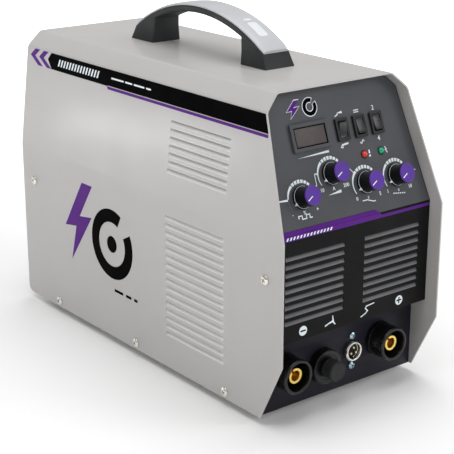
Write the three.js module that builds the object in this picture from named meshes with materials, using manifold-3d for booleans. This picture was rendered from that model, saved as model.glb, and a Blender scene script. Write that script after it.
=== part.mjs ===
// TIG welding machine: a portable inverter power source in a folded steel cover, with a louvred
// front, four control knobs, a carrying handle, weld sockets and the working parts inside.
// Millimetres, +X to the right seen from the front, +Y to the rear, +Z up, origin on the floor
// under the middle of the machine.
import * as THREE from 'three';
import { mergeVertices } from 'three/addons/utils/BufferGeometryUtils.js';
import Module from 'manifold-3d';

// ---- driving dimensions ----
const WIDTH = 200;                 // across the side walls
const LENGTH = 450;                // front edge of the cover to its rear edge
const COVER_HEIGHT = 300;
const FOOT_HEIGHT = 8;             // the cover's bottom edge stands this far off the floor
const SHEET = 1.5;                 // folded steel sheet
const GAP = 0.3;                   // assembly clearance between neighbouring pieces
const CREASE = 177;                // height above the cover's bottom where the sides start to lean
const SHOULDER = 285;              // height where the top chamfer starts
const SHOULDER_INSET = 13;         // how far the side has leaned in at the shoulder
const CHAMFER_INSET = 16.5;        // width of the top chamfer
const NOSE_LEAN = 40;              // how far the front has leaned back at the shoulder
const CHIN_SETBACK = 30;           // the front bottom corner is cut back this far
const CHIN_HEIGHT = 60;
const PANEL_RECESS = 15;           // front panel behind the cover's front edge
const SOCKET_RECESS = 33;          // socket panel behind the cover's front edge
const SOCKET_PANEL_TOP = 73.5;
const REAR_RECESS = 28;
const SHELF_HEIGHT = 172;          // deck over the cooling tunnel
const FAN_HEIGHT = 105;            // fan centre above the cover's bottom

const FRONT = -LENGTH / 2;
const REAR = LENGTH / 2;
const HALF = WIDTH / 2;
const LEAN = SHOULDER - CREASE;    // height of the leaning stretch
const SLOPE = Math.atan2(LEAN, NOSE_LEAN);
const PANEL_Y = FRONT + PANEL_RECESS;
const SOCKET_Y = FRONT + SOCKET_RECESS;
const REAR_Y = REAR - REAR_RECESS;
const CLEAR = SHEET + GAP;

// ---- materials ----
const paint = (color, roughness = 0.45, metalness = 0.1) =>
  new THREE.MeshStandardMaterial({ color, roughness, metalness });
const GREY_PAINT = 0xb4b2b0;
const DARK_PAINT = 0x2a2930;
const PANEL_GREY = 0x545558;
const BLACK = 0x17171a;
const PURPLE = 0x5f38a0;
const BRASS = 0xd8a84a;
const STEEL = 0xb8babd;
const ALUMINIUM = 0xa9adb0;
const COPPER = 0xb4693a;
const BOARD_GREEN = 0x1f5a38;
const RUBBER = 0x1b1b1c;
const STRIP_GREY = 0xc2c4c6;

// ---- solids ----
const wasm = await Module();
wasm.setup();

// A closed three.js geometry as a solid: shared vertices merged, triangles without area dropped.
function solid(geometry) {
  geometry.deleteAttribute('normal');
  geometry.deleteAttribute('uv');
  const merged = mergeVertices(geometry, 1e-4);
  const corners = merged.index.array;
  const kept = [];
  for (let i = 0; i < corners.length; i += 3) {
    const [a, b, c] = [corners[i], corners[i + 1], corners[i + 2]];
    if (a !== b && b !== c && c !== a) kept.push(a, b, c);
  }
  const vertProperties = new Float32Array(merged.attributes.position.array);
  const triVerts = new Uint32Array(kept);
  return new wasm.Manifold(new wasm.Mesh({ numProp: 3, vertProperties, triVerts }));
}

const join = (first, ...others) => others.reduce((sum, other) => sum.add(other), first);
const cut = (first, ...others) => others.reduce((sum, other) => sum.subtract(other), first);
const range = (count, make) => Array.from({ length: count }, (_, i) => make(i));
const degrees = (radians) => (radians * 180) / Math.PI;

// A box from its middle in X and Y and its bottom in Z.
function block(w, d, h, x = 0, y = 0, z = 0) {
  return solid(new THREE.BoxGeometry(w, d, h).translate(x, y, z + h / 2));
}

// A turned piece: (radius, height) points up the outside, about +Z.
function turned(profile, sides = 20, x = 0, y = 0, z = 0) {
  const points = profile.map(([r, h]) => new THREE.Vector2(r, h));
  return solid(new THREE.LatheGeometry(points, sides).rotateX(Math.PI / 2).translate(x, y, z));
}

const rod = (r, h, x = 0, y = 0, z = 0, sides = 20) =>
  turned([[0, 0], [r, 0], [r, h], [0, h]], sides, x, y, z);

// A flat outline in XY given thickness along +Z.
function plate(outline, thickness, z = 0) {
  const shape = new THREE.Shape(outline.map(([x, y]) => new THREE.Vector2(x, y)));
  return solid(new THREE.ExtrudeGeometry(shape, { depth: thickness, bevelEnabled: false }).translate(0, 0, z));
}

// An outline in YZ swept across X between -half and +half.
function swept(outline, half, x = 0) {
  const shape = new THREE.Shape(outline.map(([y, z]) => new THREE.Vector2(y, z)));
  const g = new THREE.ExtrudeGeometry(shape, { depth: 2 * half, bevelEnabled: false });
  g.translate(0, 0, -half);
  g.applyMatrix4(new THREE.Matrix4().makeBasis(
    new THREE.Vector3(0, 1, 0), new THREE.Vector3(0, 0, 1), new THREE.Vector3(1, 0, 0)));
  return solid(g.translate(x, 0, 0));
}

// An outline in XZ swept along Y from y0 to y1.
function drawn(outline, y0, y1) {
  const shape = new THREE.Shape(outline.map(([x, z]) => new THREE.Vector2(x, z)));
  const g = new THREE.ExtrudeGeometry(shape, { depth: y1 - y0, bevelEnabled: false });
  return solid(g.rotateX(Math.PI / 2).translate(0, y1, 0));
}

// A box with its upright edges rounded.
function rounded(w, d, h, r, x = 0, y = 0, z = 0, steps = 3) {
  const s = new THREE.Shape();
  s.absarc(w / 2 - r, d / 2 - r, r, 0, Math.PI / 2);
  s.absarc(r - w / 2, d / 2 - r, r, Math.PI / 2, Math.PI);
  s.absarc(r - w / 2, r - d / 2, r, Math.PI, 1.5 * Math.PI);
  s.absarc(w / 2 - r, r - d / 2, r, 1.5 * Math.PI, 2 * Math.PI);
  const g = new THREE.ExtrudeGeometry(s, { depth: h, bevelEnabled: false, curveSegments: steps });
  return solid(g.translate(x, y, z));
}

// A regular polygon: count points on a circle.
const circle = (r, count, turn = 0) =>
  range(count, (i) => turn + (2 * Math.PI * i) / count).map((a) => [r * Math.cos(a), r * Math.sin(a)]);

// A round tube along a smooth curve.
function tube(points, outer, inner, steps) {
  const path = new THREE.CatmullRomCurve3(points.map((p) => new THREE.Vector3(...p)), false, 'centripetal');
  const ring = new THREE.Shape(circle(outer, 8).map(([x, y]) => new THREE.Vector2(x, y)));
  ring.holes.push(new THREE.Path(circle(inner, 8).reverse().map(([x, y]) => new THREE.Vector2(x, y))));
  return solid(new THREE.ExtrudeGeometry(ring, { extrudePath: path, steps, bevelEnabled: false }));
}

// ---- the assembly ----
const machine = new THREE.Group();
const body = new THREE.Group();       // heights inside are above the cover's bottom edge
body.position.z = FOOT_HEIGHT;
machine.add(body);

function place(group, name, shape, material) {
  const { vertProperties, triVerts } = shape.getMesh();
  const g = new THREE.BufferGeometry();
  g.setAttribute('position', new THREE.BufferAttribute(new Float32Array(vertProperties), 3));
  g.setIndex(new THREE.BufferAttribute(new Uint32Array(triVerts), 1));
  const mesh = new THREE.Mesh(g, material);
  mesh.name = name;
  group.add(mesh);
}

// A work plane: its own +Z is the outward normal of the face it lies on.
function facing(x, y, z, tilt, parent = body) {
  const group = new THREE.Group();
  group.position.set(x, y, z);
  group.rotation.x = tilt;
  parent.add(group);
  return group;
}
const TOWARDS_FRONT = Math.PI / 2;
const TOWARDS_REAR = -Math.PI / 2;    // on this plane +Y points down

// ---- cover ----
// Half the cover's section, inset by d on every face, from the bottom up.
function section(d) {
  const side = HALF - d;
  const lean = Math.hypot(LEAN, SHOULDER_INSET) / LEAN;
  const shoulder = HALF - SHOULDER_INSET - d * lean;
  const top = COVER_HEIGHT - d;
  const chamferHeight = COVER_HEIGHT - SHOULDER;
  const lost = d * Math.tan(Math.atan2(chamferHeight, CHAMFER_INSET) / 2);
  const flat = HALF - SHOULDER_INSET - CHAMFER_INSET - lost;
  const right = [[side, 0], [side, CREASE], [shoulder, SHOULDER - d * 0.4], [flat, top]];
  return { right, left: right.map(([x, z]) => [-x, z]).reverse() };
}

// Louvres pressed in from the wall: each slat starts flush at its lower edge and leans inwards.
const LOUVRE_OPEN = 4.4;              // height of the opening
const LOUVRE_DEPTH = 3.4;             // how far in the slat's upper edge stands
const SLAT_LAP = 0.6;                 // the slat runs this far into the wall under the opening
const SLAT_TIP = 1.1;                 // thickness of the slat's upper edge
// two groups up each side wall: one below the crease, one above it
const SIDE_LOUVRE = { length: 92, y: -95, low: 34.3, lowPitch: 8.12, lowCount: 16,
  high: 25.5, highPitch: 7.82, highCount: 7 };
const FRONT_LOUVRE = { length: 72, x: 48.5, pitch: 7.75, low: 91.5, count: 9 };
const REAR_CORNER = 8;                // the cover's lower rear corner is rounded off

// One louvre in a wall whose outer face is x = 0 and whose inside is at -x.
function louvreCutter(length) {
  return block(3 * SHEET, length, LOUVRE_OPEN, -SHEET / 2, 0, 0);
}
function louvreSlat(length) {
  const outline = [[0, -SLAT_LAP], [0, 0], [-LOUVRE_DEPTH, LOUVRE_OPEN],
    [-LOUVRE_DEPTH - SLAT_TIP, LOUVRE_OPEN - SLAT_LAP], [-SHEET, -SLAT_LAP]];
  return drawn(outline, -length / 2, length / 2);
}

function cover() {
  const outline = (d) => [...section(d).right, ...section(d).left];
  const inside = outline(SHEET).map(([x, z]) => [x, z === 0 ? -1 : z]);
  let shell = cut(drawn(outline(0), FRONT, REAR), drawn(inside, FRONT - 1, REAR + 1));
  const above = COVER_HEIGHT + 1;
  const cornerMiddle = REAR_CORNER * (1 - Math.SQRT1_2);
  const side = [[FRONT + CHIN_SETBACK, 0], [FRONT, CHIN_HEIGHT], [FRONT, CREASE],
    [FRONT + (NOSE_LEAN * (above - CREASE)) / LEAN, above], [REAR, above], [REAR, REAR_CORNER],
    [REAR - cornerMiddle, cornerMiddle], [REAR - REAR_CORNER, 0]].reverse();
  shell = shell.intersect(swept(side, HALF + 1));
  const lean = Math.atan2(SHOULDER_INSET, LEAN);
  const { length, lowPitch, highPitch } = SIDE_LOUVRE;
  const low = range(SIDE_LOUVRE.lowCount, (i) => [0, HALF, SIDE_LOUVRE.low + i * lowPitch]);
  const high = range(SIDE_LOUVRE.highCount, (i) => {
    const up = SIDE_LOUVRE.high + i * highPitch;
    return [lean, HALF - up * Math.sin(lean), CREASE + up * Math.cos(lean)];
  });
  for (const turn of [0, 180]) {
    for (const [tilt, x, z] of [...low, ...high]) {
      const seat = (s) => s.rotate([0, -degrees(tilt), 0]).translate([x, 0, z]).rotate([0, 0, turn])
        .translate([0, SIDE_LOUVRE.y, 0]);
      shell = shell.subtract(seat(louvreCutter(length))).add(seat(louvreSlat(length)));
    }
  }
  return shell;
}
place(body, 'cover', cover(), paint(GREY_PAINT, 0.4));

// ---- base tray and feet ----
const TRAY_FRONT = SOCKET_Y + SHEET + GAP;
const TRAY_REAR = REAR_Y - SHEET - GAP;
const TRAY_LENGTH = TRAY_REAR - TRAY_FRONT;
const TRAY_WALL = 17;
const TRAY_Y = (TRAY_REAR + TRAY_FRONT) / 2;
const FLOOR = SHEET + GAP;             // internal parts stand at this height
const TRAY_SLOT = { count: 6, pitch: 60, length: 42, height: 9, z: 8 };   // air slots in each side wall
const airSlots = [-1, 1].flatMap((side) => range(TRAY_SLOT.count, (i) => {
  const y = TRAY_Y + (i - (TRAY_SLOT.count - 1) / 2) * TRAY_SLOT.pitch;
  return block(6, TRAY_SLOT.length, TRAY_SLOT.height, side * HALF, y, TRAY_SLOT.z);
}));
const tray = cut(
  block(2 * (HALF - CLEAR), TRAY_LENGTH, TRAY_WALL, 0, TRAY_Y, 0),
  block(2 * (HALF - CLEAR - SHEET), TRAY_LENGTH - 2 * SHEET, TRAY_WALL, 0, TRAY_Y, SHEET),
  ...airSlots);
place(body, 'base_tray', tray, paint(DARK_PAINT, 0.5));

const FOOT_X = 62;
const FOOT_FRONT = -146;
const FOOT_REAR = 166;
const FOOT = [[0, 0], [11, 0], [12.5, FOOT_HEIGHT - GAP], [0, FOOT_HEIGHT - GAP]];
for (const [end, y] of [['front', FOOT_FRONT], ['rear', FOOT_REAR]]) {
  for (const [side, x] of [['left', -FOOT_X], ['right', FOOT_X]]) {
    place(machine, `foot_${end}_${side}`, turned(FOOT, 20, x, y, 0), paint(RUBBER, 0.9, 0));
  }
}

// ---- front panel: one bent sheet, the lower half louvred, the upper half sloping ----
const slope = facing(0, PANEL_Y, CREASE, SLOPE);
const onSlope = (s) => s.rotate([degrees(SLOPE), 0, 0]).translate([0, PANEL_Y, CREASE]);
const onFront = (s, x, y, z) => s.rotate([90, 0, 0]).translate([x, y, z]);
const onRear = (s, x, y, z) => s.rotate([-90, 0, 0]).translate([x, y, z]);
const panelOutline = (z0) => [...section(CLEAR).right, ...section(CLEAR).left]
  .map(([x, z]) => [x, z === 0 ? z0 : z]);

const KNOBS = [['balance', -57.5, 31], ['current', -18, 46], ['slope', 21, 31], ['gas', 60.5, 31]];
const SWITCHES = [['process', 6, 83], ['polarity', 28, 83], ['trigger', 49.5, 83]];
const LEDS = [['fault', 27, 56.5], ['power', 48.5, 56.5]];
const DISPLAY = { x: -33.5, v: 83, w: 45, h: 25.5 };
const SWITCH = { w: 15, h: 21, lip: 2.8 };
const FLANGE_LAP = 0.9;                // a switch flange covers this much panel round its cut-out
const BUSH_HOLE = 4.6;                 // radius, for a potentiometer's bush
const LAMP_HOLE = 3.3;                 // radius, for an indicator lamp

function frontPanel() {
  const top = COVER_HEIGHT - CLEAR;
  const back = (z) => PANEL_Y + (NOSE_LEAN * (z - CREASE)) / LEAN;
  const thick = SHEET / Math.sin(SLOPE);
  const bend = CREASE - (thick - SHEET) * (LEAN / NOSE_LEAN);
  const flange = TRAY_FRONT - GAP;
  const outline = [[flange, SOCKET_PANEL_TOP], [flange, SOCKET_PANEL_TOP + SHEET],
    [PANEL_Y + SHEET, SOCKET_PANEL_TOP + SHEET], [PANEL_Y + SHEET, bend], [back(top) + thick, top],
    [back(top), top], [PANEL_Y, CREASE], [PANEL_Y, SOCKET_PANEL_TOP]];
  let panel = swept(outline, HALF).intersect(drawn(panelOutline(0), FRONT, 0));
  const through = 12;
  const hole = (r, x, v, sides) => onSlope(rod(r, through, x, v, -through / 2, sides));
  const window = (w, h, x, v) => onSlope(block(w, h, through, x, v, -through / 2));
  panel = cut(panel,
    ...KNOBS.map(([, x, v]) => hole(BUSH_HOLE, x, v, 16)),
    ...LEDS.map(([, x, v]) => hole(LAMP_HOLE, x, v, 12)),
    ...SWITCHES.map(([, x, v]) => window(SWITCH.w - 2 * FLANGE_LAP, SWITCH.h - 2 * FLANGE_LAP, x, v)),
    window(DISPLAY.w - 4 * FLANGE_LAP, DISPLAY.h - 4 * FLANGE_LAP, DISPLAY.x, DISPLAY.v));
  const { length, count, pitch, low } = FRONT_LOUVRE;
  for (const x of [-FRONT_LOUVRE.x, FRONT_LOUVRE.x]) {
    for (const z of range(count, (i) => low + i * pitch)) {
      const seat = (s) => s.rotate([0, 0, -90]).translate([x, PANEL_Y, z]);
      panel = panel.subtract(seat(louvreCutter(length))).add(seat(louvreSlat(length)));
    }
  }
  return panel;
}
place(body, 'front_panel', frontPanel(), paint(PANEL_GREY, 0.5));

// ---- control knobs with their potentiometers ----
const KNOB_BODY = [[0, 0.6], [10.8, 0.6], [11, 1.2], [11, 2.6], [9.5, 3.2], [9.1, 15.4], [0, 15.4]];
const KNOB_CAP = [[0, 15.7], [9.1, 15.7], [9.1, 16.6], [8.6, 17.2], [0, 17.2]];
const POINTER = [[-1.6, -9.4], [1.6, -9.4], [0, -10.9]];
const POINTER_TURN = -60;              // degrees the knobs stand turned from pointing straight down
for (const [name, x, v] of KNOBS) {
  const at = (s) => s.rotate([0, 0, POINTER_TURN]).translate([x, v, 0]);
  const shaft = rod(2.9, 8, 0, 0, -7.2, 12);
  const pointer = plate(POINTER, 1.2, 2.2);
  place(slope, `knob_${name}`, at(join(turned(KNOB_BODY, 24), shaft, pointer)), paint(BLACK, 0.55, 0));
  const notch = block(1, 6, 1, 0, -5, 16.7);
  place(slope, `knob_cap_${name}`, at(cut(turned(KNOB_CAP, 24), notch)), paint(PURPLE, 0.35, 0));
  const socket = rod(3.3, 12, 0, 0, -8, 12);
  const pot = join(rod(8, 10, 0, 0, -14, 16), rod(4.2, 4, 0, 0, -4.2, 16), block(12, 5, 2, 0, -9, -13));
  place(slope, `potentiometer_${name}`, cut(pot, socket).translate([x, v, 0]), paint(ALUMINIUM, 0.4, 0.6));
}

// ---- rocker switches; k scales the panel switch up for the mains switch ----
const ROCK = 10;                       // degrees each way from level
const PIVOT = 1;                       // pivot height above the face it is set in
function switchBody(k) {
  const { w, h, lip } = SWITCH;
  const flange = rounded(w * k, h * k, lip * k - GAP, 1.2 * k, 0, 0, GAP);
  const housing = block((w - 2.4) * k, (h - 2.4) * k, 16 * k + 1, 0, 0, -16 * k);
  return cut(join(flange, housing), block((w - 5.4) * k, (h - 5.4) * k, 20 * k, 0, 0, -6 * k));
}
function rocker(k, tilt) {
  const end = ((SWITCH.h - 5.4) / 2 - 0.7) * k;
  const outline = [[-end, -0.4 * k], [-3 * k, -4.5 * k], [3 * k, -4.5 * k], [end, -0.4 * k], [end, 2.9 * k],
    [0.5 * end, 2.2 * k], [0, 1.95 * k], [-0.5 * end, 2.2 * k], [-end, 2.9 * k]];
  return swept(outline, ((SWITCH.w - 6.2) / 2) * k).rotate([tilt, 0, 0]).translate([0, 0, PIVOT * k]);
}
SWITCHES.forEach(([name, x, v], i) => {
  const tilt = i === 0 ? ROCK : -ROCK;
  place(slope, `switch_body_${name}`, switchBody(1).translate([x, v, 0]), paint(BLACK, 0.5, 0));
  place(slope, `switch_rocker_${name}`, rocker(1, tilt).translate([x, v, 0]), paint(BLACK, 0.45, 0));
});

// ---- current display ----
const bezel = cut(
  join(block(DISPLAY.w, DISPLAY.h, 3 - GAP, 0, 0, GAP),
    block(DISPLAY.w - 4.4, DISPLAY.h - 4.4, 10 + GAP, 0, 0, -10)),
  block(DISPLAY.w - 7, DISPLAY.h - 7, 4, 0, 0, 0.8));
const pane = block(DISPLAY.w - 7.6, DISPLAY.h - 7.6, 1.2, 0, 0, 1.1);
place(slope, 'display_bezel', bezel.translate([DISPLAY.x, DISPLAY.v, 0]), paint(PANEL_GREY, 0.5, 0));
place(slope, 'display_window', pane.translate([DISPLAY.x, DISPLAY.v, 0]), paint(0x4a4442, 0.15, 0));

// ---- indicator lamps ----
const LAMP = [[0, -6], [2.9, -6], [2.9, 1.4], [2.6, 2.4], [1.6, 3.2], [0, 3.5]];
for (const [name, x, v] of LEDS) {
  const tint = name === 'fault' ? 0xc63428 : 0x0a9468;
  place(slope, `indicator_${name}`, turned(LAMP, 14, x, v, 0), paint(tint, 0.25, 0));
}

// ---- control board behind the sloping panel ----
const board = join(
  block(150, 92, 1.6, 0, 54, -27),
  ...[-70, 70].flatMap((x) => [14, 94].map((v) => rod(2.5, 27 - CLEAR, x, v, -27, 8))),
  block(34, 16, 6, -33, 30, -25.6), block(20, 20, 4, 20, 54, -25.6), block(12, 30, 8, 60, 56, -25.6));
place(slope, 'control_board', board, paint(BOARD_GREEN, 0.5, 0));

// ---- socket panel ----
const OUTPUTS = [['negative', -70, 39.5], ['positive', 53, 39.5]];
const TORCH = { x: -21.5, z: 31.5 };
const CONTROL = { x: 17.2, z: 35.5, screws: 15.5 };
const socketPanel = cut(
  drawn([[-HALF + CLEAR, GAP], [HALF - CLEAR, GAP], [HALF - CLEAR, SOCKET_PANEL_TOP - GAP],
    [-HALF + CLEAR, SOCKET_PANEL_TOP - GAP]], SOCKET_Y, SOCKET_Y + SHEET),
  ...OUTPUTS.map(([, x, z]) => onFront(rod(13, 8, 0, 0, -4), x, SOCKET_Y, z)),
  onFront(rod(10.4, 8, 0, 0, -4), TORCH.x, SOCKET_Y, TORCH.z),
  onFront(rod(9, 8, 0, 0, -4), CONTROL.x, SOCKET_Y, CONTROL.z),
  ...[-1, 1].map((s) =>
    onFront(rod(1.9, 8, 0, 0, -4, 8), CONTROL.x, SOCKET_Y, CONTROL.z + s * CONTROL.screws)));
place(body, 'socket_panel', socketPanel, paint(DARK_PAINT, 0.5));

// ---- weld current sockets ----
const SHELL = [[8.4, -22], [12.6, -22], [12.6, GAP], [17.2, GAP], [16.9, 22.2], [16.4, 23], [13.8, 23], [13.3, 4],
  [8.4, 4], [8.4, -22]];
const CONTACT = [[0, -26], [8, -26], [8, 17.6], [7.4, 18.2], [5.2, 18.2], [4.8, 17.6], [4.8, 2], [0, 2]];
for (const [name, x, z] of OUTPUTS) {
  const at = facing(x, SOCKET_Y, z, TOWARDS_FRONT);
  place(at, `output_socket_${name}`, turned(SHELL, 20), paint(BLACK, 0.5, 0));
  place(at, `socket_contact_${name}`, turned(CONTACT, 20), paint(BRASS, 0.3, 0.9));
}

// ---- torch gas connector and its dust cap ----
const torch = facing(TORCH.x, SOCKET_Y, TORCH.z, TOWARDS_FRONT);
const TORCH_BODY = [[0, -30], [3, -30], [3, -20], [10, -20], [10, GAP], [17.2, GAP], [17.2, 9], [16.4, 9.8],
  [6.2, 9.8], [6.2, -12], [0, -12]];
const DUST_CAP = [[0, -8], [5.6, -8], [5.6, 10.1], [9.6, 10.1], [10, 22.8], [9, 24], [0, 24]];
place(torch, 'torch_connector', turned(TORCH_BODY, 20), paint(BLACK, 0.5, 0));
place(torch, 'torch_dust_cap', turned(DUST_CAP, 20), paint(0x2a2b2a, 0.6, 0));

// ---- three-pin torch switch socket with its two screws ----
const control = facing(CONTROL.x, SOCKET_Y, CONTROL.z, TOWARDS_FRONT);
const CONTROL_SHELL = [[7.2, -14], [8.6, -14], [8.6, GAP], [10.4, GAP], [10.4, 4.4], [9.8, 5], [8.6, 5], [8.6, 1],
  [7.2, 1], [7.2, -14]];
const pins = range(3, (i) => Math.PI / 2 + (2 * Math.PI * i) / 3)
  .map((a) => rod(1.2, 5, 3.6 * Math.cos(a), 3.6 * Math.sin(a), -1, 8));
place(control, 'control_socket_shell', turned(CONTROL_SHELL, 20), paint(STEEL, 0.2, 0.9));
place(control, 'control_socket_pins', join(rod(6.9, 13.5, 0, 0, -13, 16), ...pins), paint(BRASS, 0.35, 0.7));
const SCREW = [[0, -6], [1.6, -6], [1.6, GAP], [4, GAP], [3.7, 1.9], [2.4, 2.8], [0, 3.1]];
const cross = join(block(3.6, 0.9, 2, 0, 0, 1.9), block(0.9, 3.6, 2, 0, 0, 1.9));
for (const [name, side] of [['upper', 1], ['lower', -1]]) {
  const screw = cut(turned(SCREW, 14), cross).translate([0, side * CONTROL.screws, 0]);
  place(control, `control_socket_screw_${name}`, screw, paint(STEEL, 0.25, 0.9));
}

// ---- handle: a moulded arch on two feet with a strip let into its top ----
const HANDLE_Y = 11;
const ARCH_TOP = 49.5;                 // top of the strip above the cover
const ARCH_RADIUS = 189;
const HANDLE_HALF = 112;
const STRIP = 3;
const GRIP = 6.5;
const arc = (r, reach, count = 16) => range(count + 1, (i) => {
  const y = reach * (1 - (2 * i) / count);
  return [y, COVER_HEIGHT + ARCH_TOP - ARCH_RADIUS + Math.sqrt(r * r - y * y)];
});
function handle() {
  const end = 6.5, foot = 39.5, low = COVER_HEIGHT + 0.1;
  const top = arc(ARCH_RADIUS - STRIP, HANDLE_HALF - end);
  const under = arc(ARCH_RADIUS - STRIP - GRIP, HANDLE_HALF - foot - 2).reverse();
  const outline = [[HANDLE_HALF, low], ...top, [-HANDLE_HALF, low], [foot - HANDLE_HALF, low], ...under,
    [HANDLE_HALF - foot, low]];
  const taper = [[-18.3, low - 1], [18.3, low - 1], [16, low + 17], [16, low + 60], [-16, low + 60], [-16, low + 17]];
  return swept(outline, 20).intersect(drawn(taper, -HANDLE_HALF - 1, HANDLE_HALF + 1));
}
function handleStrip() {
  const reach = HANDLE_HALF - 6.5;
  const outline = [...arc(ARCH_RADIUS, reach), ...arc(ARCH_RADIUS - STRIP + GAP, reach).reverse()];
  return swept(outline, 15.6);
}
place(body, 'handle', handle().translate([0, HANDLE_Y, 0]), paint(BLACK, 0.6, 0));
place(body, 'handle_strip', handleStrip().translate([0, HANDLE_Y, 0]), paint(STRIP_GREY, 0.45, 0));

// ---- rear panel ----
const MAINS = { x: 58, z: 238, k: 1.6 };
const GLAND = { x: -60, z: 240 };
const GAS = { x: 78, z: 41 };
const STUD = { x: -78, z: 36 };
const MAINS_CUT = (SWITCH.h - 2 * FLANGE_LAP) * MAINS.k;
const rearPanel = cut(
  drawn(panelOutline(GAP), REAR_Y - SHEET, REAR_Y),
  onRear(rod(57, 8, 0, 0, -4, 24), 0, REAR_Y, FAN_HEIGHT),
  block((SWITCH.w - 2 * FLANGE_LAP) * MAINS.k, 8, MAINS_CUT, MAINS.x, REAR_Y, MAINS.z - MAINS_CUT / 2),
  onRear(rod(8.4, 8, 0, 0, -4, 16), GLAND.x, REAR_Y, GLAND.z),
  onRear(rod(6.4, 8, 0, 0, -4, 12), GAS.x, REAR_Y, GAS.z),
  onRear(rod(4.4, 8, 0, 0, -4, 12), STUD.x, REAR_Y, STUD.z));
place(body, 'rear_panel', rearPanel, paint(DARK_PAINT, 0.5));

// ---- mains switch ----
const mains = facing(MAINS.x, REAR_Y, MAINS.z, TOWARDS_REAR);
place(mains, 'mains_switch_body', switchBody(MAINS.k), paint(BLACK, 0.5, 0));
place(mains, 'mains_switch_rocker', rocker(MAINS.k, ROCK), paint(0x8a1f1a, 0.4, 0));

// ---- supply cable gland, open, with no cable in it ----
const HEX = (r) => circle(r, 6);
const gland = facing(GLAND.x, REAR_Y, GLAND.z, TOWARDS_REAR);
const GLAND_BORE = 5.2;
const glandBody = cut(
  join(rod(8, 12 + GAP, 0, 0, -12, 16), plate(HEX(13), 6, GAP),
    turned([[0, 6], [10.5, 6], [11, 16], [8.6, 21], [0, 21]], 20)),
  rod(GLAND_BORE, 40, 0, 0, -15, 16));
place(gland, 'supply_gland', glandBody, paint(BLACK, 0.5, 0));

// ---- gas inlet, earth stud ----
const gas = facing(GAS.x, REAR_Y, GAS.z, TOWARDS_REAR);
const INLET = [[0, -26], [3, -26], [3, -10], [6, -10], [6, 5], [4.4, 7], [4.8, 8.5], [3.9, 12], [4.8, 13.5],
  [3.9, 17], [4.8, 18.5], [3.6, 24], [0, 24]];
const inlet = cut(join(turned(INLET, 12), plate(HEX(9.5), 6, GAP)), rod(1.8, 60, 0, 0, -30, 10));
place(gas, 'gas_inlet', inlet, paint(BRASS, 0.3, 0.9));
const earth = facing(STUD.x, REAR_Y, STUD.z, TOWARDS_REAR);
place(earth, 'earth_stud', join(rod(4, 32, 0, 0, -14, 12), plate(HEX(7.5), 6, GAP)), paint(STEEL, 0.3, 0.9));

// ---- cooling fan ----
const fan = facing(0, TRAY_REAR, FAN_HEIGHT, TOWARDS_REAR);
const FAN = { size: 119, deep: 38, bore: 56.5, hub: 20 };
const fanFrame = join(
  cut(rounded(FAN.size, FAN.size, FAN.deep, 6, 0, 0, -FAN.deep), rod(FAN.bore, 60, 0, 0, -50, 24)),
  rod(FAN.hub, 5, 0, 0, -FAN.deep, 16),
  ...[45, 135].map((a) => block(2 * FAN.bore + 2, 5, 4, 0, 0, -FAN.deep).rotate([0, 0, a])));
const blade = block(37, 20, 1.8, 34, 0, -0.9).rotate([38, 0, 0]).translate([0, 0, -17]);
const rotor = join(rod(FAN.hub - 0.5, 24, 0, 0, -31, 20),
  ...range(7, (i) => blade.rotate([0, 0, (360 * i) / 7])));
place(fan, 'fan_frame', fanFrame, paint(BLACK, 0.5, 0));
place(fan, 'fan_rotor', rotor, paint(BLACK, 0.5, 0));

const guardPlane = facing(0, REAR_Y, FAN_HEIGHT, TOWARDS_REAR);
const WIRE = 1.1;
const ring = (r) => turned([[r - WIRE, 5], [r + WIRE, 5], [r + WIRE, 5 + 2 * WIRE], [r - WIRE, 5 + 2 * WIRE],
  [r - WIRE, 5]], 18);
const corners = [45, 135, 225, 315];
const guard = join(
  ...[20, 40, 59].map(ring),
  ...corners.map((a) => block(58, 2.4, 2.4, 46, 0, 3.2).rotate([0, 0, a])),
  ...corners.map((a) => rod(4, 5.5, 74, 0, GAP, 10).rotate([0, 0, a])));
place(guardPlane, 'fan_guard', guard, paint(STEEL, 0.3, 0.9));

// ---- inside: tunnel parts on the tray ----
const FINS = 9;
const FIN_PITCH = 8.5;
const finned = join(
  block(72, 190, 8, -44, 34, FLOOR),
  ...range(FINS, (i) => block(2.6, 190, 78, -78 + FIN_PITCH * i, 34, FLOOR + 4)));
place(body, 'heatsink', finned, paint(ALUMINIUM, 0.4, 0.7));
const transformer = join(
  block(60, 34, 66, 42, 64, FLOOR),
  rounded(46, 70, 38, 12, 42, 64, FLOOR + 14),
  ...[-1, 1].map((s) => rod(3, 14, 42 + 14 * s, 64, FLOOR + 60, 8)));
place(body, 'main_transformer', transformer, paint(0x3a3330, 0.6, 0.2));
const CHOKE = [[15, 3], [19, 0], [30, 0], [34, 4], [34, 30], [30, 34], [19, 34], [15, 30], [15, 3]];
place(body, 'output_choke', turned(CHOKE, 20, 36, -52, FLOOR), paint(COPPER, 0.35, 0.6));

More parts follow.
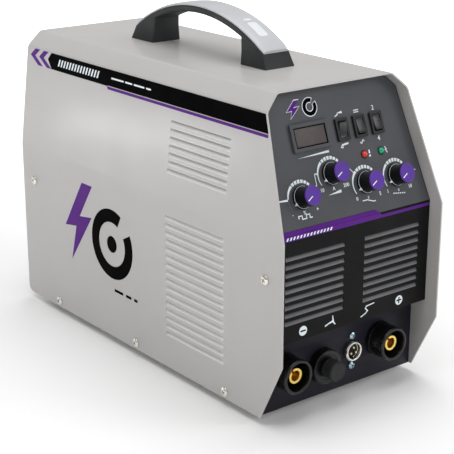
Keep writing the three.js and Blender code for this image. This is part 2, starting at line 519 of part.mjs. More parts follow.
// ---- inside: the shelf and the power board on it ----
const SHELF = { half: 92, front: -140, rear: 150 };
const legs = [[-SHELF.half, FLOOR], [-SHELF.half + SHEET, FLOOR], [-SHELF.half + SHEET, SHELF_HEIGHT],
  [SHELF.half - SHEET, SHELF_HEIGHT], [SHELF.half - SHEET, FLOOR], [SHELF.half, FLOOR],
  [SHELF.half, SHELF_HEIGHT + SHEET], [-SHELF.half, SHELF_HEIGHT + SHEET]];
const airWindow = (y) => block(3 * HALF, 92, 120, 0, y, 30);
const shelf = cut(drawn(legs, SHELF.front, SHELF.rear), airWindow(-90), airWindow(65));
place(body, 'chassis_shelf', shelf, paint(STEEL, 0.5, 0.6));
const DECK = SHELF_HEIGHT + CLEAR;
const powerBoard = join(
  block(156, 236, 1.6, 0, -6, DECK + 8),
  ...[-70, 70].flatMap((x) => [-116, -6, 104].map((y) => rod(3, 8.5, x, y, DECK, 8))),
  ...range(4, (i) => block(26, 18, 22, -60 + 34 * i, -100, DECK + 9)),
  rounded(44, 40, 34, 6, 46, 74, DECK + 9), block(120, 10, 30, -10, 44, DECK + 9));
place(body, 'power_board', powerBoard, paint(BOARD_GREEN, 0.5, 0));
const capacitors = join(
  block(84, 84, 1.5, 0, -28, DECK + 9.9),
  ...[-20, 20].flatMap((x) => [-48, -8].map((y) => rod(17, 48, x, y, DECK + 10, 18))));
place(body, 'capacitor_bank', capacitors, paint(0x23303f, 0.4, 0.2));

// ---- inside: gas valve on the inlet, and the hose to the torch connector ----
const VALVE_Y = 166;
const valve = cut(
  join(
    block(20, 34, 22, GAS.x, VALVE_Y, 30), block(8, 16, 30, GAS.x, VALVE_Y, FLOOR),
    rod(10, 34, GAS.x, VALVE_Y, 50, 16),
    onFront(rod(3, 28, 0, 0, 0, 8), GAS.x, VALVE_Y, GAS.z)),
  onRear(rod(3.3, 20, 0, 0, 0, 12), GAS.x, VALVE_Y + 3, GAS.z));
place(body, 'gas_valve', valve, paint(BRASS, 0.4, 0.6));
const HOSE = { outer: 5, inner: 3.4 };
const route = [[GAS.x, VALVE_Y - 18, GAS.z], [GAS.x, VALVE_Y - 44, GAS.z - 1], [82, 90, 22], [83, 50, 11],
  [83, -60, 10], [80, -104, 11], [50, -122, 13], [10, -122, 18], [-14, -128, 27], [TORCH.x, -140, TORCH.z],
  [TORCH.x, -150, TORCH.z], [TORCH.x, SOCKET_Y + 21.5, TORCH.z]];
place(body, 'gas_hose', tube(route, HOSE.outer, HOSE.inner, 26), paint(0x8a9aa5, 0.5, 0));

export default machine;
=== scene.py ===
"""TIG welding machine: the visual model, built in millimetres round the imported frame.

Work planes carry the pieces: a plane's own X runs across, Y up and Z out of the face it lies on.
"""
import math

import bmesh
import bpy
from mathutils import Matrix, Vector


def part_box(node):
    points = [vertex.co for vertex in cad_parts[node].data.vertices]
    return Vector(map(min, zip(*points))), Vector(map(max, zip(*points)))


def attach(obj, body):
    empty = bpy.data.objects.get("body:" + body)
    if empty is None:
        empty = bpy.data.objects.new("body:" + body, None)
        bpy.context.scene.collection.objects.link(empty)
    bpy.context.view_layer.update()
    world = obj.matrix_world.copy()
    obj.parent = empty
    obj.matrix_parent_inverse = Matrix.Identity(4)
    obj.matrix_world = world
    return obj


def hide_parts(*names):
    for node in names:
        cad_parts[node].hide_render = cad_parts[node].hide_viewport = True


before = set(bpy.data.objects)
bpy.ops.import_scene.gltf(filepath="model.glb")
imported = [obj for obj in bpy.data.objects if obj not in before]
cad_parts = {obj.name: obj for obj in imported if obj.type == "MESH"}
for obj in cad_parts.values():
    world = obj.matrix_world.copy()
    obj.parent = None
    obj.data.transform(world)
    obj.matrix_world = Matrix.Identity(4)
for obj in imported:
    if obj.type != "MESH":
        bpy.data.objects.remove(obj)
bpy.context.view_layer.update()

MM = 0.001


def span(node):
    """A CAD node's lowest and highest corners in millimetres."""
    lo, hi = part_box(node)
    return lo / MM, hi / MM


# ---- driving dimensions, from the frame where a CAD node holds them ----
COVER_LO, COVER_HI = span("cover")
HALF = COVER_HI.x
FRONT = COVER_LO.y
REAR = COVER_HI.y
BASE = COVER_LO.z
TOP = COVER_HI.z
PANEL_Y = span("front_panel")[0].y
SOCKET_Y = span("socket_panel")[0].y
REAR_Y = span("rear_panel")[1].y
CREASE = BASE + 177          # the side walls lean in above this height
SHOULDER = BASE + 285        # the top chamfer starts here
LEAN = SHOULDER - CREASE
SHOULDER_INSET = 13
CHAMFER_INSET = 16.5
NOSE_LEAN = 40
CHIN_SETBACK = 30
CHIN_HEIGHT = 60
SHEET = 1.5
CLEAR = SHEET + 0.3
REAR_CORNER = 8
SLOPE_LENGTH = math.hypot(LEAN, NOSE_LEAN)
WALL_LENGTH = math.hypot(LEAN, SHOULDER_INSET)


# ---- planes ----
def plane(origin, across, up):
    across, up = Vector(across).normalized(), Vector(up).normalized()
    place = Matrix((across, up, across.cross(up))).transposed().to_4x4()
    place.translation = Vector(origin)
    return place


LEVEL = Matrix.Identity(4)
SLOPE = plane((0, PANEL_Y, CREASE), (1, 0, 0), (0, NOSE_LEAN, LEAN))
LOUVRE_FACE = plane((0, PANEL_Y, 0), (1, 0, 0), (0, 0, 1))
FRONT_FACE = plane((0, SOCKET_Y, 0), (1, 0, 0), (0, 0, 1))
REAR_FACE = plane((0, REAR_Y, 0), (-1, 0, 0), (0, 0, 1))
LEFT_WALL = plane((-HALF, 0, 0), (0, -1, 0), (0, 0, 1))
RIGHT_WALL = plane((HALF, 0, 0), (0, 1, 0), (0, 0, 1))
LEFT_LEAN = plane((-HALF, 0, CREASE), (0, -1, 0), (SHOULDER_INSET, 0, LEAN))
RIGHT_LEAN = plane((HALF, 0, CREASE), (0, 1, 0), (-SHOULDER_INSET, 0, LEAN))


def middle_of(node, face):
    """The middle of a CAD node's box, across and up a work plane."""
    back = face.inverted()
    points = [back @ (v.co / MM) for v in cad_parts[node].data.vertices]
    return [(min(p[i] for p in points) + max(p[i] for p in points)) / 2 for i in range(2)]


def seat(node, face):
    """A work plane moved to the middle of a CAD node."""
    return face @ Matrix.Translation((*middle_of(node, face), 0))


def standing(node):
    """A level plane under the middle of a CAD node, and the node's size."""
    lo, hi = span(node)
    return plane(((lo.x + hi.x) / 2, (lo.y + hi.y) / 2, lo.z), (1, 0, 0), (0, 1, 0)), hi - lo


# ---- outlines ----
def arc(radius, start, end, steps=12, x=0.0, y=0.0):
    """Points along an arc, angles in degrees."""
    turn = [math.radians(start + (end - start) * i / steps) for i in range(steps + 1)]
    return [(x + radius * math.cos(a), y + radius * math.sin(a)) for a in turn]


def circle(radius, x=0.0, y=0.0, steps=48):
    return arc(radius, 0, 360, steps, x, y)[:-1]


def box_outline(w, h, x=0.0, y=0.0):
    return [(x - w / 2, y - h / 2), (x + w / 2, y - h / 2), (x + w / 2, y + h / 2), (x - w / 2, y + h / 2)]


def softened(points, radius, closed=True, steps=4):
    """The same outline with its corners rounded; a corner with a third value keeps that radius."""
    out = []
    count = len(points)
    for i, corner in enumerate(points):
        if not closed and i in (0, count - 1):
            out.append(tuple(corner[:2]))
            continue
        own = corner[2] if len(corner) > 2 else radius
        here = Vector(corner[:2])
        back = Vector(points[i - 1][:2]) - here
        on = Vector(points[(i + 1) % count][:2]) - here
        angle = back.angle(on, math.pi)
        if own < 1e-4 or angle > math.radians(178):
            out.append(tuple(here))
            continue
        reach = min(own / math.tan(angle / 2), 0.48 * back.length, 0.48 * on.length)
        r = reach * math.tan(angle / 2)
        middle = here + (back.normalized() + on.normalized()).normalized() * (r / math.sin(angle / 2))
        start = here + back.normalized() * reach - middle
        end = here + on.normalized() * reach - middle
        swing = start.angle_signed(end)
        for k in range(steps + 1):
            a = -swing * k / steps
            c, s = math.cos(a), math.sin(a)
            out.append((middle.x + c * start.x - s * start.y, middle.y + s * start.x + c * start.y))
    return out


# ---- shapes: each is a bmesh in millimetres ----
FLUTED_FROM = 5              # flutes are cut only outside this radius
BOLDNESS = 0.012             # letters are thickened by this part of their size
CHASSIS = "chassis"
SHARP = 38                   # degrees between two faces above which their edge stays hard


def turned(profile, sides=64, edge=None, flutes=0, flute_depth=0.0, flute_span=(0, 0)):
    """A profile of (radius, height) turned about Z, its corners rounded by edge.

    It starts and ends on the axis, or closes on itself."""
    if edge is not None:
        profile = softened(profile, edge, closed=profile[0][0] > 0)
    bm = bmesh.new()
    rings = []
    for r, h in profile:
        if r < 1e-6:
            rings.append([bm.verts.new((0, 0, h))])
            continue
        deep = flute_depth if flutes and flute_span[0] <= h <= flute_span[1] and r > FLUTED_FROM else 0
        ring = []
        for i in range(sides):
            a = 2 * math.pi * i / sides
            reach = r - deep * (0.5 - 0.5 * math.cos(flutes * a)) if deep else r
            ring.append(bm.verts.new((reach * math.cos(a), reach * math.sin(a), h)))
        rings.append(ring)
    pairs = list(zip(rings, rings[1:]))
    if len(rings[0]) > 1:
        pairs.append((rings[-1], rings[0]))
    for low, high in pairs:
        for i in range(sides):
            j = (i + 1) % sides
            corners = [low[i % len(low)], low[j % len(low)], high[j % len(high)], high[i % len(high)]]
            corners = list(dict.fromkeys(corners))
            if len(corners) > 2:
                bm.faces.new(corners)
    return closed(bm)


def closed(bm):
    bmesh.ops.remove_doubles(bm, verts=bm.verts, dist=1e-4)
    bmesh.ops.recalc_face_normals(bm, faces=bm.faces)
    return bm


def lofted(rings, cap=True):
    """Rings of points joined one to the next."""
    bm = bmesh.new()
    rows = [[bm.verts.new(p) for p in ring] for ring in rings]
    for low, high in zip(rows, rows[1:]):
        for i in range(len(low)):
            j = (i + 1) % len(low)
            bm.faces.new((low[i], low[j], high[j], high[i]))
    if cap:
        bm.faces.new(rows[0][::-1])
        bm.faces.new(rows[-1])
    return closed(bm)


def from_curve(curve):
    holder = bpy.data.objects.new("outline", curve)
    mesh = bpy.data.meshes.new_from_object(holder)
    bm = bmesh.new()
    bm.from_mesh(mesh)
    bpy.data.objects.remove(holder)
    bpy.data.curves.remove(curve)
    bpy.data.meshes.remove(mesh)
    return closed(bm)


def plate(outlines, low, high, bevel=0.0, steps=2):
    """Filled outlines from height low to high. An outline inside another is a hole."""
    curve = bpy.data.curves.new("outline", "CURVE")
    curve.dimensions = "2D"
    curve.fill_mode = "BOTH"
    curve.extrude = (high - low) / 2 - bevel
    curve.bevel_depth = bevel
    curve.bevel_resolution = steps
    curve.offset = -bevel
    for outline in outlines:
        spline = curve.splines.new("POLY")
        spline.points.add(len(outline) - 1)
        for point, xy in zip(spline.points, outline):
            point.co = (xy[0], xy[1], 0, 1)
        spline.use_cyclic_u = True
    return moved(from_curve(curve), Matrix.Translation((0, 0, (low + high) / 2)))


def lettering(text, size, x, y, low, high):
    curve = bpy.data.curves.new("text", "FONT")
    curve.body = text
    curve.size = size
    curve.align_x = "CENTER"
    curve.align_y = "CENTER"
    curve.extrude = (high - low) / 2
    curve.resolution_u = 3
    curve.offset = BOLDNESS * size
    return moved(from_curve(curve), Matrix.Translation((x, y, (low + high) / 2)))


def swept(outline, half, bevel=0.0):
    """An outline in the plane's (Y, Z) swept across X between -half and half."""
    bm = plate([outline], -half, half, bevel)
    turn = Matrix(((0, 0, 1, 0), (1, 0, 0, 0), (0, 1, 0, 0), (0, 0, 0, 1)))
    return closed(moved(bm, turn))


def moved(bm, place):
    bm.transform(place)
    return bm


def shifted(bm, x=0.0, y=0.0, z=0.0):
    return moved(bm, Matrix.Translation((x, y, z)))


def spun(bm, degrees, axis="Z"):
    return moved(bm, Matrix.Rotation(math.radians(degrees), 4, axis))


def joined(*shapes):
    total = bmesh.new()
    for shape in shapes:
        mesh = bpy.data.meshes.new("part")
        shape.to_mesh(mesh)
        shape.free()
        total.from_mesh(mesh)
        bpy.data.meshes.remove(mesh)
    return total


def rod(radius, low, high, x=0.0, y=0.0, sides=24, edge=0.0):
    return shifted(turned([(0, low), (radius, low, 0), (radius, high, edge), (0, high)], sides, edge), x, y)


def wire(points, radius, loop=False):
    """A round wire along a line of points."""
    curve = bpy.data.curves.new("wire", "CURVE")
    curve.dimensions = "3D"
    curve.bevel_depth = radius
    curve.bevel_resolution = 3
    curve.use_fill_caps = True
    spline = curve.splines.new("POLY")
    spline.points.add(len(points) - 1)
    for point, at in zip(spline.points, points):
        point.co = (*at, 1)
    spline.use_cyclic_u = loop
    return from_curve(curve)


def piece(name, shape, place, finish, slot, node=None, body=CHASSIS, sharp=SHARP):
    """Puts a shape on its plane, as an object that rides on a body and may stand for a CAD node."""
    moved(shape, Matrix.Scale(MM, 4) @ place)
    if place.determinant() < 0:
        bmesh.ops.reverse_faces(shape, faces=shape.faces)
    mesh = bpy.data.meshes.new(name)
    shape.to_mesh(mesh)
    shape.free()
    mesh.polygons.foreach_set("use_smooth", [True] * len(mesh.polygons))
    mesh.set_sharp_from_angle(angle=math.radians(sharp))
    mesh.materials.append(M[finish])
    ob = bpy.data.objects.new(name, mesh)
    bpy.context.scene.collection.objects.link(ob)
    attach(ob, body)
    if node:
        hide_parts(node)
    return ob


def cut_by(ob, *shapes):
    """Cuts shapes, given in millimetres, out of an object, and applies its modifiers."""
    mesh = bpy.data.meshes.new("cutter")
    cutter_shape = moved(joined(*shapes), Matrix.Scale(MM, 4))
    cutter_shape.to_mesh(mesh)
    cutter_shape.free()
    cutter = bpy.data.objects.new("cutter", mesh)
    bpy.context.scene.collection.objects.link(cutter)
    cut = ob.modifiers.new("cut", "BOOLEAN")
    cut.object = cutter
    cut.operation = "DIFFERENCE"
    cut.solver = "EXACT"
    bake_modifiers(ob)
    bpy.data.objects.remove(cutter)


def bake_modifiers(ob):
    bpy.context.view_layer.update()
    graph = bpy.context.evaluated_depsgraph_get()
    mesh = bpy.data.meshes.new_from_object(ob.evaluated_get(graph))
    ob.modifiers.clear()
    ob.data = mesh
    mesh.set_sharp_from_angle(angle=math.radians(SHARP))


def bevelled(ob, width, segments=2, angle=40):
    bevel = ob.modifiers.new("edges", "BEVEL")
    bevel.width = width * MM
    bevel.segments = segments
    bevel.limit_method = "ANGLE"
    bevel.angle_limit = math.radians(angle)
    bevel.harden_normals = True
    bevel.use_clamp_overlap = True
    return ob


# ---- materials ----
def srgb(r, g, b):
    def linear(c):
        c /= 255
        return c / 12.92 if c <= 0.04045 else ((c + 0.055) / 1.055) ** 2.4
    return linear(r), linear(g), linear(b), 1.0


COAT_ROUGHNESS = 0.16
DUST = (0.55, 0.54, 0.52, 1)
GRAIN_DEPTH = 0.0002         # metres


def add_node(tree, kind, linked=(), values=(), **settings):
    """A shader node with its settings, its inputs' values and what is linked into them."""
    node = tree.nodes.new("ShaderNode" + kind)
    for key, setting in settings.items():
        setattr(node, key, setting)
    for key, value in dict(values).items():
        node.inputs[key].default_value = value
    for key, output in dict(linked).items():
        tree.links.new(output, node.inputs[key])
    return node


def finish_material(name, colour, roughness, metallic=0.0, mottle=0.06, mottle_scale=14.0, grain=0.1,
                    grain_scale=1800.0, rough_spread=0.08, stretch=(1, 1, 1), coat=0.0, speck=0.0,
                    glow=0.0, specular=0.5):
    """A principled finish: colour and gloss wander slowly over the surface, and a fine grain bumps it."""
    mat = bpy.data.materials.new(name)
    mat.use_nodes = True
    tree = mat.node_tree
    shader = tree.nodes["Principled BSDF"]
    uniform = {"Metallic": metallic, "Coat Weight": coat, "Coat Roughness": COAT_ROUGHNESS,
               "Specular IOR Level": specular}
    if glow:
        uniform.update({"Emission Color": colour, "Emission Strength": glow})
    for key, value in uniform.items():
        shader.inputs[key].default_value = value
    where = add_node(tree, "TexCoord").outputs["Object"]
    scaled = add_node(tree, "Mapping", {"Vector": where}, {"Scale": stretch}).outputs["Vector"]

    def noise(scale, detail, vector):
        values = {"Scale": scale, "Detail": detail}
        return add_node(tree, "TexNoise", {"Vector": vector}, values).outputs["Fac"]

    def ranged(value, low, high, start=0.3, end=0.7):
        values = {"From Min": start, "From Max": end, "To Min": low, "To Max": high}
        return add_node(tree, "MapRange", {"Value": value}, values).outputs["Result"]

    slow = noise(mottle_scale, 4.0, where)
    fine = noise(grain_scale, 2.0, scaled)
    tint = {"Value": ranged(slow, 1 - mottle, 1 + mottle)}
    base = add_node(tree, "HueSaturation", tint, {"Color": colour}).outputs["Color"]
    if speck:
        mask = ranged(noise(grain_scale * 0.35, 6.0, where), 0, speck, 0.62, 0.75)
        mixed = add_node(tree, "Mix", {"Factor": mask, "A": base}, {"B": DUST}, data_type="RGBA")
        base = mixed.outputs["Result"]
    tree.links.new(base, shader.inputs["Base Color"])
    rough = ranged(noise(mottle_scale * 3, 5.0, scaled),
                   max(0.02, roughness - rough_spread), min(1, roughness + rough_spread))
    tree.links.new(rough, shader.inputs["Roughness"])
    if grain:
        bump = add_node(tree, "Bump", {"Height": fine}, {"Strength": grain, "Distance": GRAIN_DEPTH})
        tree.links.new(bump.outputs["Normal"], shader.inputs["Normal"])
    return mat


FLOOR_WHITE = (250, 250, 250)
# each finish's material name, sRGB colour, roughness, and what else differs from the plain one
FINISHES = {
    "cover": ("cover_powder_coat", (187, 185, 183), 0.44,
        dict(mottle=0.025, mottle_scale=9, grain=0.12, grain_scale=900, rough_spread=0.05, coat=0.35)),
    # the cover's slats: the cover colour made lighter, a painted highlight where the slats face up into the
    # overhead light
    "cover_slat_painted_light": ("cover_slat_painted_highlight", (222, 222, 222), 0.38,
        dict(mottle=0.02, mottle_scale=9, grain=0.22, grain_scale=900)),
    "dark_paint": ("dark_powder_coat", (30, 30, 32), 0.5,
        dict(mottle=0.12, grain=0.3, grain_scale=900, speck=0.04)),
    "louvre_paint": ("front_panel_paint", (20, 21, 20), 0.5,
        dict(mottle=0.08, grain=0.2, grain_scale=900, specular=0.08)),
    "overlay": ("control_overlay", (78, 79, 83), 0.42,
        dict(mottle=0.04, grain=0.12, grain_scale=2400, specular=0.25)),
    # the front louvres' slats: the same black sheet as the panel, painted light grey where they face up into
    # the light; shade_slats adds painted shade up each slat
    "slat_paint_painted_light": ("louvre_slat_painted_light", (106, 106, 111), 0.4,
        dict(mottle=0.08, grain=0.2, grain_scale=900)),
    "print_white": ("white_print", (232, 241, 245), 0.45, dict(mottle=0.03, grain=0.0)),
    "print_black": ("black_print", (4, 4, 4), 0.5, dict(mottle=0.1, grain=0.1, specular=0.01)),
    "print_purple": ("purple_print", (90, 34, 132), 0.45, dict(mottle=0.05, grain=0.08, specular=0.08)),
    "socket_paint": ("socket_panel_paint", (36, 34, 44), 0.44,
        dict(mottle=0.1, grain=0.22, grain_scale=900, specular=0.15)),
    "black_plastic": ("black_moulding", (22, 22, 24), 0.42,
        dict(mottle=0.15, grain=0.25, grain_scale=2600, speck=0.01, specular=0.3)),
    "knob_plastic": ("knob_moulding", (14, 14, 15), 0.4,
        dict(mottle=0.12, grain=0.12, grain_scale=3000, specular=0.15)),
    "cap_plastic": ("purple_cap", (86, 50, 150), 0.42,
        dict(mottle=0.05, grain=0.1, grain_scale=3000, specular=0.25)),
    "socket_plastic": ("socket_moulding", (16, 16, 17), 0.26,
        dict(mottle=0.15, grain=0.3, grain_scale=1500, specular=0.4)),
    "cap_rubber": ("dust_cap_rubber", (38, 40, 39), 0.6,
        dict(mottle=0.12, grain=0.4, grain_scale=1600, speck=0.02, specular=0.3)),
    "bezel": ("display_bezel", (74, 75, 79), 0.48,
        dict(mottle=0.06, grain=0.25, grain_scale=2200, specular=0.25)),
    "smoke": ("smoked_window", (82, 75, 74), 0.24, dict(mottle=0.06, grain=0.0, specular=0.2)),
    "lamp_red": ("red_lens", (206, 46, 36), 0.2, dict(mottle=0.05, grain=0.0, coat=0.3, glow=0.22)),
    "lamp_green": ("green_lens", (0, 148, 104), 0.2, dict(mottle=0.05, grain=0.0, coat=0.3, glow=0.3)),
    "brass": ("machined_brass", (240, 205, 112), 0.26,
        dict(metallic=1.0, mottle=0.06, grain=0.25, grain_scale=700, stretch=(1, 6, 1), rough_spread=0.12)),
    "chrome": ("nickel_chrome", (232, 230, 222), 0.22,
        dict(metallic=1.0, mottle=0.04, grain=0.05, rough_spread=0.06)),
    "zinc": ("zinc_plate", (190, 196, 204), 0.3,
        dict(metallic=1.0, mottle=0.1, grain=0.3, grain_scale=800, rough_spread=0.12)),
    "insert": ("pin_insert", (22, 20, 19), 0.5, dict(mottle=0.15, grain=0.2, specular=0.2)),
    "pin": ("silver_pins", (214, 206, 186), 0.26, dict(metallic=1.0, mottle=0.05, grain=0.1)),
    "handle": ("handle_moulding", (42, 45, 46), 0.55,
        dict(mottle=0.1, grain=0.5, grain_scale=1300, speck=0.02, specular=0.3)),
    "strip": ("handle_strip", (184, 185, 188), 0.42, dict(mottle=0.03, grain=0.15, grain_scale=1500)),
    "mark": ("handle_mark", (222, 226, 229), 0.3, dict(mottle=0.02, grain=0.0, coat=0.3)),
    "switch": ("switch_moulding", (26, 26, 28), 0.36,
        dict(mottle=0.1, grain=0.2, grain_scale=2600, specular=0.35)),
    "paddle": ("switch_paddle", (34, 35, 37), 0.28, dict(mottle=0.1, grain=0.15, grain_scale=2600)),
    "blue_zinc": ("blue_zinc_plate", (168, 196, 206), 0.28,
        dict(metallic=1.0, mottle=0.12, grain=0.2, rough_spread=0.1)),
    "rubber": ("foot_rubber", (26, 26, 27), 0.8,
        dict(mottle=0.15, grain=0.5, grain_scale=1200, speck=0.06)),
    "red_plastic": ("red_rocker", (140, 30, 26), 0.3, dict(mottle=0.08, grain=0.1, coat=0.2)),
    "aluminium": ("extruded_aluminium", (172, 175, 178), 0.34,
        dict(metallic=1.0, mottle=0.06, grain=0.4, grain_scale=500, stretch=(1, 0.05, 1))),
    "galvanised": ("galvanised_steel", (168, 172, 176), 0.38,
        dict(metallic=1.0, mottle=0.16, mottle_scale=60, grain=0.2, grain_scale=600)),
    "ferrite": ("ferrite_core", (58, 54, 52), 0.7, dict(mottle=0.12, grain=0.5, grain_scale=700)),
    "copper": ("enamelled_winding", (178, 92, 48), 0.3,
        dict(metallic=0.9, mottle=0.12, grain=0.9, grain_scale=260, stretch=(1, 1, 0.1), coat=0.4)),
    "board": ("solder_mask", (24, 84, 52), 0.35,
        dict(mottle=0.12, mottle_scale=60, grain=0.3, grain_scale=500, coat=0.3)),
    "sleeve": ("capacitor_sleeve", (30, 40, 62), 0.28, dict(mottle=0.06, grain=0.1, coat=0.2)),
    "hose": ("gas_hose", (130, 146, 158), 0.45, dict(mottle=0.08, grain=0.3, grain_scale=900)),
    "floor": ("floor_white", FLOOR_WHITE, 0.9, dict(mottle=0.0, grain=0.0, specular=0.0)),
}
M = {key: finish_material(name, srgb(*colour), roughness, **more)
     for key, (name, colour, roughness, more) in FINISHES.items()}
SLAT_SHARE = 0.56            # the part of each louvre pitch that the slat takes
SLAT_SHADE = 0.3             # how much light is left at a slat's upper end


def shade_slats(material, start, pitch):
    """Each slat of a row darkens upwards, where the sheet above keeps the light off it."""
    tree = material.node_tree
    tint = next(n for n in tree.nodes if n.type == "HUE_SAT").inputs["Value"]

    def worked(operation, first, values=()):
        return add_node(tree, "Math", {0: first}, values, operation=operation).outputs[0]

    where = add_node(tree, "TexCoord").outputs["Object"]
    height = add_node(tree, "SeparateXYZ", {0: where}).outputs["Z"]
    above = worked("SUBTRACT", height, {1: start * MM})
    within = worked("FRACT", worked("DIVIDE", above, {1: pitch * MM}))
    falling = {"From Max": SLAT_SHARE, "To Min": 1, "To Max": SLAT_SHADE}
    shade = add_node(tree, "MapRange", {"Value": within}, falling).outputs["Result"]
    product = add_node(tree, "Math", {0: shade, 1: tint.links[0].from_socket}, operation="MULTIPLY")
    tree.links.new(product.outputs[0], tint)


# ---- stage, light and camera ----
FLOOR_REACH = 14             # metres to each edge
FLOOR_GLOW = {"From Min": 0.5, "From Max": 1.8, "To Min": 0.03, "To Max": 0.9}
WORLD_LIGHT = 0.44


def stage():
    bm = bmesh.new()
    bmesh.ops.create_grid(bm, x_segments=1, y_segments=1, size=FLOOR_REACH)
    mesh = bpy.data.meshes.new("floor")
    bm.to_mesh(mesh)
    bm.free()
    mesh.materials.append(M["floor"])
    # the floor glows more away from the machine, so it stays white out there and keeps its shadow here
    tree = M["floor"].node_tree
    shader = tree.nodes["Principled BSDF"]
    shader.inputs["Emission Color"].default_value = srgb(*FLOOR_WHITE)
    where = add_node(tree, "TexCoord").outputs["Object"]
    distance = add_node(tree, "VectorMath", {0: where}, operation="LENGTH").outputs["Value"]
    rise = add_node(tree, "MapRange", {"Value": distance}, FLOOR_GLOW).outputs["Result"]
    tree.links.new(rise, shader.inputs["Emission Strength"])
    floor = bpy.data.objects.new("floor", mesh)
    bpy.context.scene.collection.objects.link(floor)
    world = bpy.data.worlds.new("studio")
    bpy.context.scene.world = world
    world.use_nodes = True
    world.node_tree.nodes["Background"].inputs["Color"].default_value = (1, 1, 1, 1)
    world.node_tree.nodes["Background"].inputs["Strength"].default_value = WORLD_LIGHT
    bpy.context.scene.view_settings.view_transform = "Standard"


def area_light(name, position, target, size, watts):
    light = bpy.data.lights.new(name, "AREA")
    light.shape = "RECTANGLE"
    light.size, light.size_y = size
    light.energy = watts
    lamp = bpy.data.objects.new(name, light)
    bpy.context.scene.collection.objects.link(lamp)
    lamp.location = position
    lamp.rotation_euler = (Vector(target) - Vector(position)).to_track_quat("-Z", "Y").to_euler()
    return lamp


CAMERA = {"azimuth": -38.221, "elevation": 18.359, "distance": 1.35347, "lens": 103.08,
          "aim": (0, -0.0191, 0.1277)}


def camera():
    data = bpy.data.cameras.new("camera")
    data.lens = CAMERA["lens"]
    data.sensor_width = 36
    data.clip_end = 60
    cam = bpy.data.objects.new("camera", data)
    bpy.context.scene.collection.objects.link(cam)
    az, el = math.radians(CAMERA["azimuth"]), math.radians(CAMERA["elevation"])
    back = Vector((math.sin(az) * math.cos(el), -math.cos(az) * math.cos(el), math.sin(el)))
    cam.location = Vector(CAMERA["aim"]) + back * CAMERA["distance"]
    cam.rotation_euler = back.to_track_quat("Z", "Y").to_euler()
    bpy.context.scene.camera = cam


stage()
area_light("key", (-0.9, -0.3, 2.6), (0, 0, 0.1), (1.4, 1.4), 20)
area_light("overhead", (0.5, 0.3, 2.6), (0, 0, 0.1), (1.5, 1.5), 27)
area_light("fill", (1.5, -2.1, 1.7), (0, 0, 0.15), (1.2, 1.2), 14)
kicker = area_light("kicker", (-0.68, 0.76, 0.135), (-0.1, 0.1, 0.22), (0.3, 0.05), 0.36)
kicker.visible_diffuse = False        # it only glints off the wall
camera()


# ---- the folded sheets: cover and front panel, with louvres pressed inwards ----
LOUVRE_OPEN = 4.4
LOUVRE_DEPTH = 3.4
LOUVRE_TAPER = 7.0           # a slat sinks to its full depth over this length at its low end
LOUVRE_SHEAR = 1.8           # and over this length at its sheared high end
SIDE_LOUVRE = {"length": 92, "y": -95, "low": 34.3, "low_pitch": 8.12, "low_count": 16,
               "high": 25.5, "high_pitch": 7.82, "high_count": 7}
FRONT_LOUVRE = {"length": 72, "x": 48.5, "pitch": 7.75, "low": 91.5, "count": 9}


def mix(a, b, t):
    return a + (b - a) * t


def front_edge(z):
    """Y of the cover's front edge at a height."""
    up = z - BASE
    if up < CHIN_HEIGHT:
        return FRONT + CHIN_SETBACK * (1 - up / CHIN_HEIGHT)
    return FRONT + NOSE_LEAN * max(0, z - CREASE) / LEAN


def rear_edge(z):
    gap = max(0, REAR_CORNER - (z - BASE))
    return REAR - REAR_CORNER + math.sqrt(REAR_CORNER ** 2 - gap ** 2)


def half_width(z, inset):
    """Half the section's width at a height, for a sheet inset from the cover's outside."""
    side = HALF - inset
    lean = max(0, min(z, SHOULDER) - CREASE) / LEAN * SHOULDER_INSET
    chamfer = max(0, z - SHOULDER) / (TOP - inset - SHOULDER) * CHAMFER_INSET
    return side - lean - chamfer


def taper(position, middle, length):
    """How deep a louvre is along its length, from 0 at its ends to 1."""
    along = position - middle + length / 2
    t = max(0.0, min(1.0, along / LOUVRE_TAPER, (length - along) / LOUVRE_SHEAR))
    return math.sin(t * math.pi / 2) ** 0.8


def louvre_columns(middle, length):
    """Columns across a louvre as (place, depth), with one just outside each end to hold the flat sheet."""
    low = [-0.6] + [LOUVRE_TAPER * t for t in (0, 0.07, 0.2, 0.37, 0.6, 0.8, 1)]
    high = [length - LOUVRE_SHEAR * t for t in (1, 0.7, 0.4, 0.16, 0)] + [length + 0.6]
    inner = [mix(LOUVRE_TAPER, length - LOUVRE_SHEAR, k / 8) for k in range(1, 8)]
    places = [middle - length / 2 + v for v in low + inner + high]
    return [(("at", v), taper(v, middle, length)) for v in places]


SLAT_STEPS = (0, 0.1, 0.25, 0.45, 0.7, 1)
SHEET_HOLD = 0.5             # a plain row this far outside a slat keeps the sheet beside it flat


def louvre_rows(start, direction, out, extra=()):
    """Rows across one slat, each as (point, outward normal, how far pressed in, whether a gap follows)."""
    rows = [(start - direction * SHEET_HOLD, out, 0, False)]
    for t in sorted((*SLAT_STEPS, *extra)):
        at = start + direction * (LOUVRE_OPEN * t)
        rows.append((at, out, LOUVRE_DEPTH * t ** 1.2, t == 1))
    rows.append((start + direction * LOUVRE_OPEN, out, 0, False))
    rows.append((start + direction * (LOUVRE_OPEN + SHEET_HOLD), out, 0, False))
    return rows


